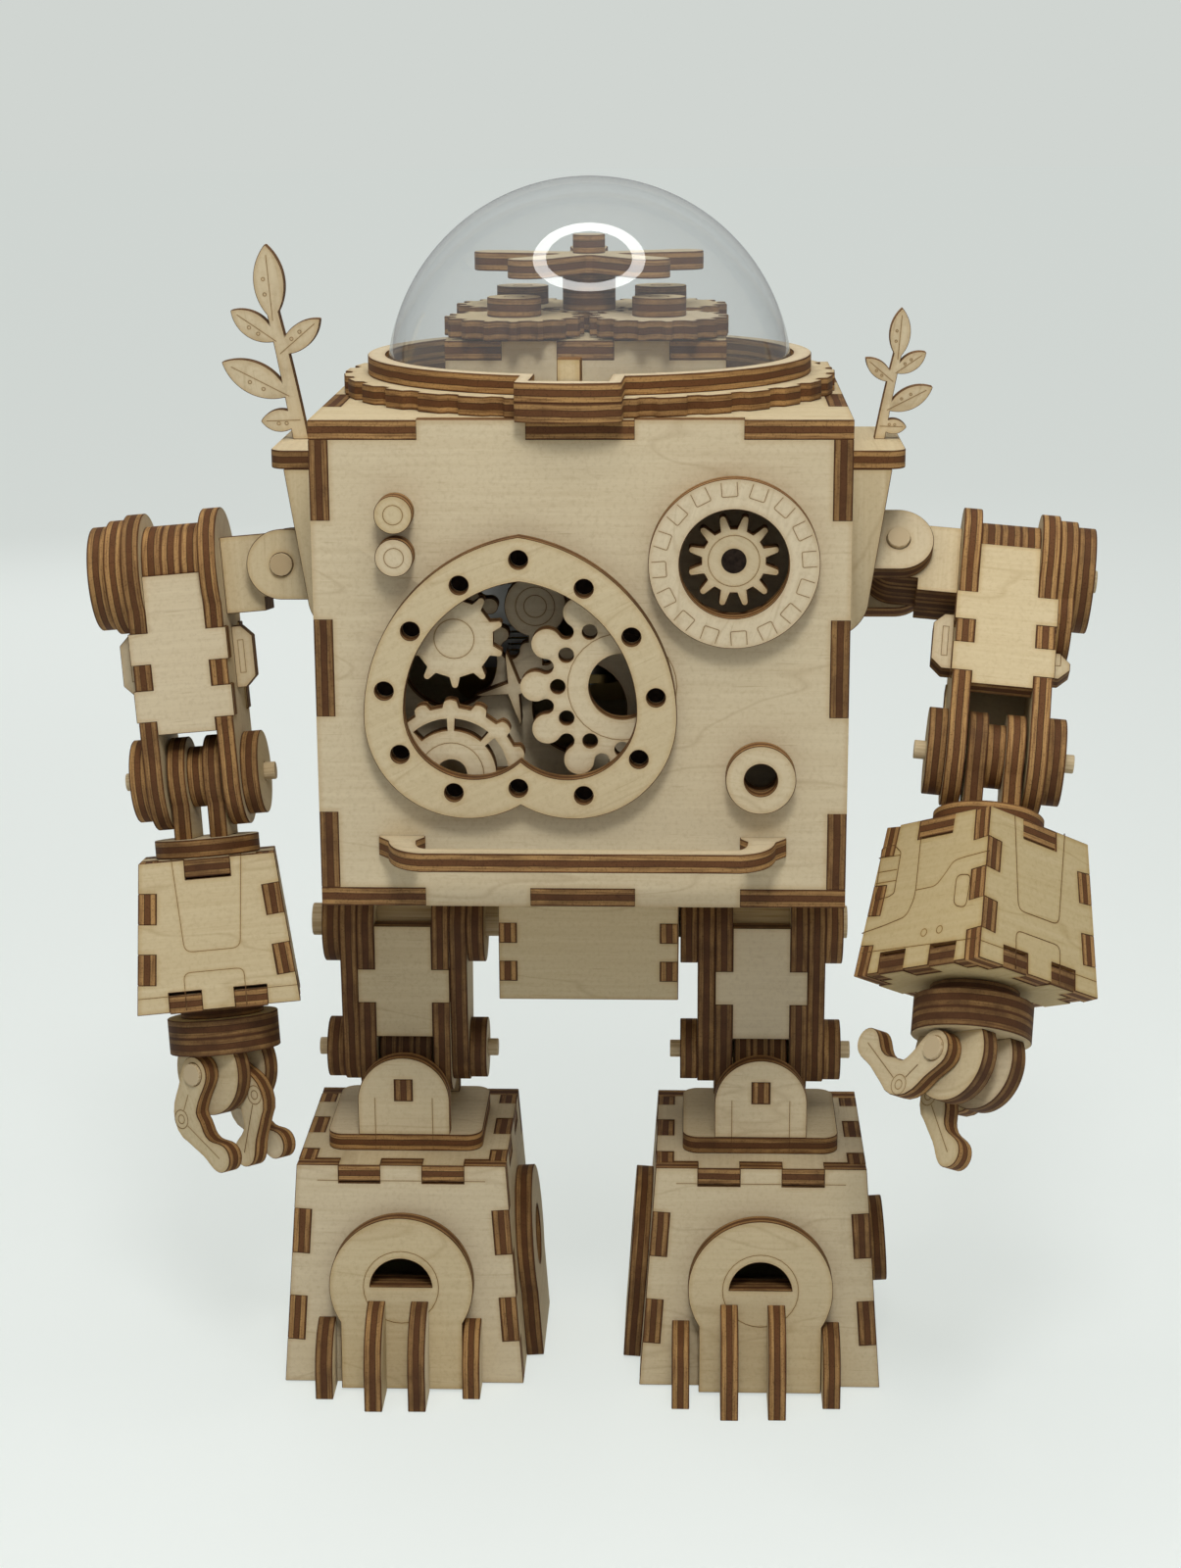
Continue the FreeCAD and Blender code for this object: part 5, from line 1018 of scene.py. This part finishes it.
for prefix in knuckles:
    burnLines(prefix + "_outer_fingers", fingerLines(prefix, "outer"))
    burnLines(prefix + "_inner_finger", fingerLines(prefix, "inner"))
print("burnt lines drawn")


# the clear dome

domeShape = {"radius": 0.0356, "wall": 0.0012, "skirt": 0.0010, "segments": 128, "rings": 64, "smoothAngle": 40}


def makeDome():
    low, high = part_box("dome")
    centre = Vector(((low.x + high.x) / 2, (low.y + high.y) / 2, low.z + domeShape["skirt"]))
    bpy.ops.object.select_all(action="DESELECT")
    bpy.ops.mesh.primitive_uv_sphere_add(segments=domeShape["segments"], ring_count=domeShape["rings"],
                                         radius=domeShape["radius"], location=centre)
    dome = bpy.context.object
    dome.name = "clear_dome"
    bpy.ops.object.transform_apply(location=True, rotation=True, scale=True)
    editAll(dome)
    bpy.ops.mesh.bisect(plane_co=centre, plane_no=(0, 0, 1), clear_inner=True)
    bpy.ops.mesh.select_all(action="DESELECT")
    backToObject()
    for edge in dome.data.edges:
        ends = [dome.data.vertices[index].co.z for index in edge.vertices]
        edge.select = max(ends) < centre.z + 1e-6
    bpy.context.tool_settings.mesh_select_mode = (False, True, False)
    bpy.ops.object.mode_set(mode="EDIT")
    bpy.ops.mesh.extrude_region_move(TRANSFORM_OT_translate={"value": (0, 0, -domeShape["skirt"])})
    backToObject()
    wall = dome.modifiers.new("wall", "SOLIDIFY")
    wall.thickness = domeShape["wall"]
    wall.offset = -1
    bpy.ops.object.modifier_apply(modifier=wall.name)
    bpy.ops.object.shade_smooth_by_angle(angle=math.radians(domeShape["smoothAngle"]))
    dome.data.materials.append(clearPlastic)
    dome.data.materials.append(clearInside)
    for face in dome.data.polygons:
        away = face.center - centre
        isInside = away.dot(face.normal) < 0 and away.length < domeShape["radius"] - domeShape["wall"] / 4
        face.material_index = 1 if isInside else 0
    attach(dome, "torso")
    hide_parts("dome")


makeDome()
print("dome ready")


# floor, light and camera

studio = {
    "floor": (0.78, 0.80, 0.79),
    "floorSize": 12.0,
    "floorLevel": -0.0001,
    "floorRoughness": 0.9,
    "floorSeen": (0.973, 1.035, 0.985),
    "floorShare": 0.56,
    "seen": (0.631, 0.665, 0.638),    # the pale tone that the camera sees past the floor
    "ringPlace": (0.004, -0.118, 0.616),
    "ringTilt": -11,
    "ringRadius": 0.175,
    "ringTube": 0.024,
    "ringColor": (1.0, 0.985, 0.96),
    "ringStrength": 7.0,
    "keyPlace": (0.03, -0.43, 0.60),
    "keySize": 0.16,
    "keyPower": 1.75,
    "fillPlace": (0.10, -0.75, 0.42),
    "fillSize": 0.6,
    "fillPower": 0.30,
    "backPlace": (-0.25, 0.75, 0.45),
    "backSize": 0.6,
    "backPower": 1.1,
    "aim": (0, 0, 0.12),
    "worldColor": (0.95, 0.97, 1.0),
    "worldStrength": 0.25,
}


def makeFloorFinish():
    material, tree, shader = startMaterial("paleFloor")
    setInputs(tree, shader, {"Base Color": (*studio["floor"], 1), "Roughness": studio["floorRoughness"],
                             "Specular IOR Level": 0.1})
    # camera, glossy and transmission rays see part of the tone as written, the rest keeps the shadow
    rays = addNode(tree, "LightPath").outputs
    seen = mathOf(tree, "MAXIMUM", rays["Is Camera Ray"], rays["Is Glossy Ray"])
    seen = mathOf(tree, "MAXIMUM", seen, rays["Is Transmission Ray"])
    share = mathOf(tree, "MULTIPLY", seen, studio["floorShare"])
    glow = addNode(tree, "Emission", {"Color": (*studio["floorSeen"], 1)}).outputs["Emission"]
    surface = blendOf(tree, share, shader.outputs["BSDF"], glow)
    setInputs(tree, tree.nodes["Material Output"], {"Surface": surface})
    return material


def makeFloor():
    bpy.ops.object.select_all(action="DESELECT")
    bpy.ops.mesh.primitive_plane_add(size=studio["floorSize"], location=(0, 0, studio["floorLevel"]))
    floor = bpy.context.object
    floor.name = "floor"
    bpy.ops.object.transform_apply(location=True, rotation=True, scale=True)
    floor.data.materials.append(makeFloorFinish())
    floor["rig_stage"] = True


def makeLights():
    bpy.ops.object.select_all(action="DESELECT")
    bpy.ops.mesh.primitive_torus_add(location=studio["ringPlace"], rotation=(math.radians(studio["ringTilt"]), 0, 0),
                                     major_radius=studio["ringRadius"], minor_radius=studio["ringTube"],
                                     major_segments=64, minor_segments=12)
    ring = bpy.context.object
    ring.name = "ringLamp"
    bpy.ops.object.transform_apply(location=True, rotation=True, scale=True)
    material, tree, shader = startMaterial("ringGlow")
    setInputs(tree, shader, {"Base Color": (0, 0, 0, 1), "Emission Color": (*studio["ringColor"], 1),
                             "Emission Strength": studio["ringStrength"]})
    ring.data.materials.append(material)
    ring.visible_camera = False
    ring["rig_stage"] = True

    for name in ("key", "fill", "back"):
        bpy.ops.object.light_add(type="AREA", location=studio[name + "Place"])
        lamp = bpy.context.object
        lamp.name = name + "Lamp"
        lamp.data.shape = "DISK"
        lamp.data.size = studio[name + "Size"]
        lamp.data.energy = studio[name + "Power"]
        lamp.rotation_euler = (Vector(studio["aim"]) - lamp.location).to_track_quat("-Z", "Y").to_euler()
        lamp.visible_glossy = False  # the dome mirrors the ring alone

    world = bpy.data.worlds.new("studioWorld")
    bpy.context.scene.world = world
    world.use_nodes = True
    tree = world.node_tree
    sky = tree.nodes["Background"]
    setInputs(tree, sky, {"Color": (*studio["worldColor"], 1), "Strength": studio["worldStrength"]})
    seen = addNode(tree, "Background", {"Color": (*studio["seen"], 1), "Strength": 1.0}).outputs["Background"]
    fromCamera = addNode(tree, "LightPath").outputs["Is Camera Ray"]
    surface = blendOf(tree, fromCamera, sky.outputs["Background"], seen)
    setInputs(tree, tree.nodes["World Output"], {"Surface": surface})


photoView = {"place": (0.0175858, -0.4832731, 0.2367371), "turn": (75.2181, 0.2847, 2.0338), "lens": 62.796,
             "sensor": 36, "clip": (0.01, 10)}


def makeCamera():
    bpy.ops.object.camera_add(location=photoView["place"],
                              rotation=[math.radians(angle) for angle in photoView["turn"]])
    camera = bpy.context.object
    camera.data.sensor_width = photoView["sensor"]
    camera.data.lens = photoView["lens"]
    camera.data.clip_start, camera.data.clip_end = photoView["clip"]
    bpy.context.scene.camera = camera
    bpy.context.scene.view_settings.view_transform = "Standard"


makeFloor()
makeLights()
makeCamera()
print("studio ready")

low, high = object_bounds()
